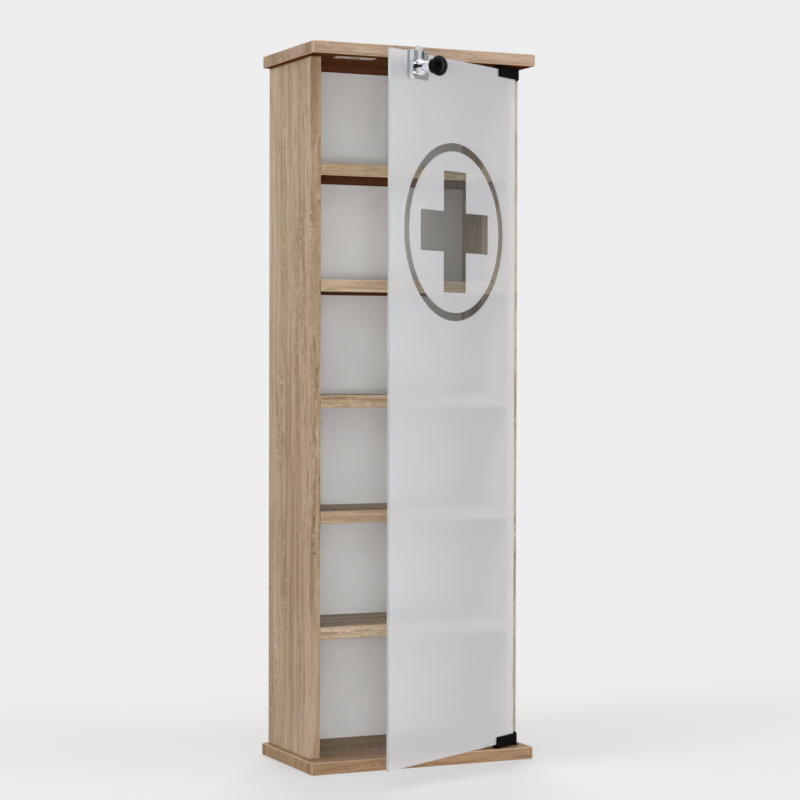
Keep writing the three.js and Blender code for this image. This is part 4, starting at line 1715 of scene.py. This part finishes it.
    def knob(self) -> None:
        """A mushroom knob: a short base, a flaring underside and a domed head."""
        span = self.cad.in_door("knob")
        bore = self.spindle_radius + FIT
        rim = self.knob_base_length + self.knob_back
        dome_height = span.size.y - rim
        head = span.size.z / 2
        dome = [(head * math.cos(angle), rim + dome_height * math.sin(angle))
                for angle in (math.pi / 2 * step / self.dome_steps for step in range(self.dome_steps))]
        profile = [
            (0, self.knob_bore_depth),
            (bore, self.knob_bore_depth),
            (bore, 0),
            (self.knob_base - self.knob_edge, 0),
            (self.knob_base, self.knob_edge),
            (self.knob_base, self.knob_base_length),
            (self.knob_neck, self.knob_base_length + self.knob_neck_length),
            *dome,
            (0, span.size.y),
        ]
        back = Vector((self.axis.x, span.high.y, self.axis.z))
        piece = Bench.turned("knob_turned", profile, FORWARD, back, self.steps)
        self.give(piece, GLOSS_BLACK, "knob", "black_plastic", "knob")

    def bolt(self) -> None:
        """A flat bar with a lead-in at its top and a cross slot for the crank pin."""
        span = self.cad.in_door("latch_bolt")
        piece = Bench.box("latch_bolt_stamped", span.grown(PROUD))
        Bench.ease(piece, self.lead_in, self.lead_in_steps,
                   lambda first, second: min(first.z, second.z) > span.high.z - SAME_PLANE)
        Bench.combine(piece, self.shut_copy("latch_bolt"), Join.KEEP)
        self.give(piece, SATIN_CHROME, "bolt", "chrome", "latch_bolt")

    def shut_copy(self, node: str) -> bpy.types.Object:
        """A copy of a door solid, turned shut."""
        return Bench.place(self.cad.solid_copy(node), self.cad.door.inverted())

    def pad(self) -> None:
        """The rubber pad that presses on the glass."""
        piece = Bench.box("latch_clamp_pad_cut", self.cad.in_door("latch_clamp_pad"))
        Bench.ease(piece, self.pad_edge, self.pad_steps)
        self.give(piece, PAD_RUBBER, "door", "pad_rubber", "latch_clamp_pad")

    def clamp_screw(self) -> None:
        """The slotted screw that drives the pad."""
        span = self.cad.in_door("latch_clamp_screw")
        radius, length = span.size.z / 2, span.size.y
        profile = [
            (0, 0),
            (radius, 0),
            (radius, length - self.screw_crown),
            (radius - self.screw_crown / 2, length - self.screw_crown / 4),
            (radius / 2, length),
            (0, length),
        ]
        start = Vector((span.centre.x, span.low.y, span.centre.z))
        piece = Bench.turned("latch_clamp_screw_turned", profile, BACKWARD, start, self.steps)
        half = self.screw_slot_width / 2
        Bench.cut(piece, Bench.box("slot_cutter", Span.between(
            (span.low.x - CUT_PAST, span.high.x + CUT_PAST),
            (span.high.y - self.screw_slot_depth, span.high.y + CUT_PAST),
            (span.centre.z - half, span.centre.z + half),
        )))
        self.give(piece, TURNED_STEEL, "door", "steel", "latch_clamp_screw")


def aimed(place: tuple[float, float, float], aim: tuple[float, float, float], front: str) -> Matrix:
    """Matrix of something at a place whose own front axis looks at a point."""
    look = Vector(aim) - Vector(place)
    return Matrix.Translation(place) @ look.to_track_quat(front, "Y").to_matrix().to_4x4()


@dataclass(frozen=True)
class PhotoCamera:
    """The camera where the photograph was taken from, with its angles in degrees."""

    place: tuple[float, float, float] = (-1.2622, -2.7589, 0.5243)
    bearing: float = 24.636
    dip: float = 0.851
    roll: float = 0.143
    focal_pixels: float = 2263.24
    image_pixels: int = 800
    sensor: float = 36.0

    def build(self) -> None:
        """Add the camera and make it the scene's."""
        lens = bpy.data.cameras.new("photo_camera")
        lens.sensor_width = self.sensor
        lens.lens = self.focal_pixels / self.image_pixels * self.sensor
        camera = bpy.data.objects.new("photo_camera", lens)
        bpy.context.collection.objects.link(camera)
        turn = Matrix.Rotation(math.radians(-self.bearing), 4, "Z")
        tilt = Matrix.Rotation(math.radians(90 - self.dip), 4, "X")
        lean = Matrix.Rotation(math.radians(self.roll), 4, "Z")
        camera.matrix_world = Matrix.Translation(self.place) @ turn @ tilt @ lean
        bpy.context.scene.camera = camera


@dataclass(frozen=True)
class Softbox:
    """A large soft lamp that looks at a point."""

    name: str
    place: tuple[float, float, float]
    aim: tuple[float, float, float]
    size: tuple[float, float]
    watts: float
    mirrored: bool = False

    def build(self) -> None:
        """Add the lamp, which polished surfaces mirror only if it says so."""
        lamp = bpy.data.lights.new(self.name, "AREA")
        lamp.shape = "RECTANGLE"
        lamp.size, lamp.size_y = self.size
        lamp.energy = self.watts
        stand = bpy.data.objects.new(self.name, lamp)
        stand.visible_glossy = self.mirrored
        bpy.context.collection.objects.link(stand)
        stand.matrix_world = aimed(self.place, self.aim, "-Z")


@dataclass(frozen=True)
class MirrorCard:
    """A card, dark or glowing, that only polished surfaces mirror."""

    name: str
    place: tuple[float, float, float]
    aim: tuple[float, float, float]
    size: tuple[float, float]
    finish: Finish

    def build(self) -> None:
        """Add the card and hide it from everything but reflections."""
        bpy.ops.object.select_all(action="DESELECT")
        bpy.ops.mesh.primitive_plane_add(size=1)
        card = bpy.context.active_object
        card.name = self.name
        Bench.place(card, aimed(self.place, self.aim, "Z") @ Matrix.Diagonal((*self.size, 1, 1)))
        Bench.paint(card, self.finish)
        card.visible_camera = False
        card.visible_diffuse = False
        card.visible_transmission = False
        card.visible_shadow = False
        card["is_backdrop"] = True


@dataclass(frozen=True)
class PaleFloor(Finish):
    """A plain pale floor that keeps the shadow, fades into the backdrop and bounces little light."""

    seen: Colour = srgb(236, 235, 233)
    bounce: Colour = srgb(132, 86, 54)
    near: float = 0.3
    far: float = 1.5
    lift: float = 0.4
    roughness: float = 0.9
    sheen: float = 0.1

    def shade(self, graph: ShaderGraph) -> Term:
        """Show one colour to the eye and bounce another.

        Args:
            graph: the shader to add nodes to.

        Returns:
            The surface's output.
        """
        shown = graph.in_sight()
        from_middle = {0: graph.place()}
        distance = graph.node("ShaderNodeVectorMath", {"operation": "LENGTH"}, from_middle, "Value")
        lost = shown * (self.lift + distance.rise(self.near, self.far) * (1 - self.lift))
        ground = graph.principled({
            "Base Color": graph.mix(shown, self.bounce, self.seen),
            "Roughness": self.roughness,
            "Specular IOR Level": self.sheen,
        })
        haze = graph.node("ShaderNodeEmission", inputs={"Color": BACKDROP, "Strength": 1.0})
        return graph.node("ShaderNodeMixShader", inputs={0: lost, 1: ground, 2: haze})


@dataclass
class Studio:
    """A pale floor and backdrop, soft lamps all round, and cards for polished metal to mirror."""

    floor_radius: float = 14.0
    floor_steps: int = 96
    floor_drop: float = 0.2 * MM
    sky: Colour = (0.95, 0.98, 1.0, 1.0)
    sky_strength: float = 0.40
    lamps: tuple[Softbox, ...] = (
        Softbox("front", (-1.3, -2.85, 0.42), (0.0, 0.0, 0.5), (1.6, 0.3), 40.0),
        Softbox("left", (-4.0, -1.2, 1.9), (0.0, 0.0, 0.5), (1.2, 0.5), 74.0),
        Softbox("right", (3.4, -2.9, 0.75), (0.0, 0.0, 0.5), (1.4, 0.8), 100.0),
        Softbox("rear", (1.0, 2.6, 2.4), (0.0, 0.0, 0.5), (1.4, 1.4), 50.0),
        Softbox("top", (-0.2, -0.3, 3.0), (0.0, 0.0, 0.9), (1.4, 1.0), 9.0, mirrored=True),
    )
    cards: tuple[MirrorCard, ...] = (
        MirrorCard("front_card", (-0.6, -5.0, 1.5), (0.0, 0.0, 0.9), (8.0, 5.0), CARD_DARK),
        MirrorCard("right_card", (3.4, -0.55, 1.0), (0.0, 0.0, 0.9), (0.6, 2.4), CARD_GREY),
        MirrorCard("left_card", (-3.4, 0.30, 1.0), (0.0, 0.0, 0.9), (0.5, 2.0), CARD_GREY),
        MirrorCard("window_card", (0.44, -0.58, 1.08), (-0.04, -0.22, 1.08), (0.09, 2.1), CARD_GLOW),
        MirrorCard("spot_card", (-1.0, -0.49, 0.95), (-0.04, -0.22, 0.95), (0.16, 0.16), CARD_GLOW),
    )

    def build(self) -> None:
        """Lay the floor, hang the backdrop and set up the lamps and cards."""
        bpy.ops.object.select_all(action="DESELECT")
        bpy.ops.mesh.primitive_circle_add(vertices=self.floor_steps, radius=self.floor_radius,
                                          fill_type="NGON", location=(0, 0, -self.floor_drop))
        floor = bpy.context.active_object
        floor.name = "studio_floor"
        Bench.paint(floor, PaleFloor("pale_floor"))
        floor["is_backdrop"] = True
        self.world()
        for stand in (*self.lamps, *self.cards):
            stand.build()

    def world(self) -> None:
        """Dim even light all round, and a pale backdrop for what is looked at."""
        world = bpy.data.worlds.new("studio")
        world.use_nodes = True
        bpy.context.scene.world = world
        graph = ShaderGraph(world.node_tree)
        sky = {"Color": self.sky, "Strength": self.sky_strength}
        light = graph.node("ShaderNodeBackground", inputs=sky)
        sight = graph.node("ShaderNodeBackground", inputs={"Color": BACKDROP, "Strength": 1.0})
        both = graph.node("ShaderNodeMixShader", inputs={0: graph.in_sight(), 1: light, 2: sight})
        graph.node("ShaderNodeOutputWorld", inputs={"Surface": both})


def main() -> None:
    """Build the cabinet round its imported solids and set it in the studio."""
    logging.basicConfig(level=logging.INFO, format="%(name)s: %(message)s")
    cad = CadFrame(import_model())
    for part in (Carcass, Shelving, JoiningFittings, Strike, GlassDoor, Hinges, KnobLatch):
        part(cad).build()
    Studio().build()
    PhotoCamera().build()
    bpy.context.scene.view_settings.view_transform = "Standard"


if __name__ == "__main__":
    main()
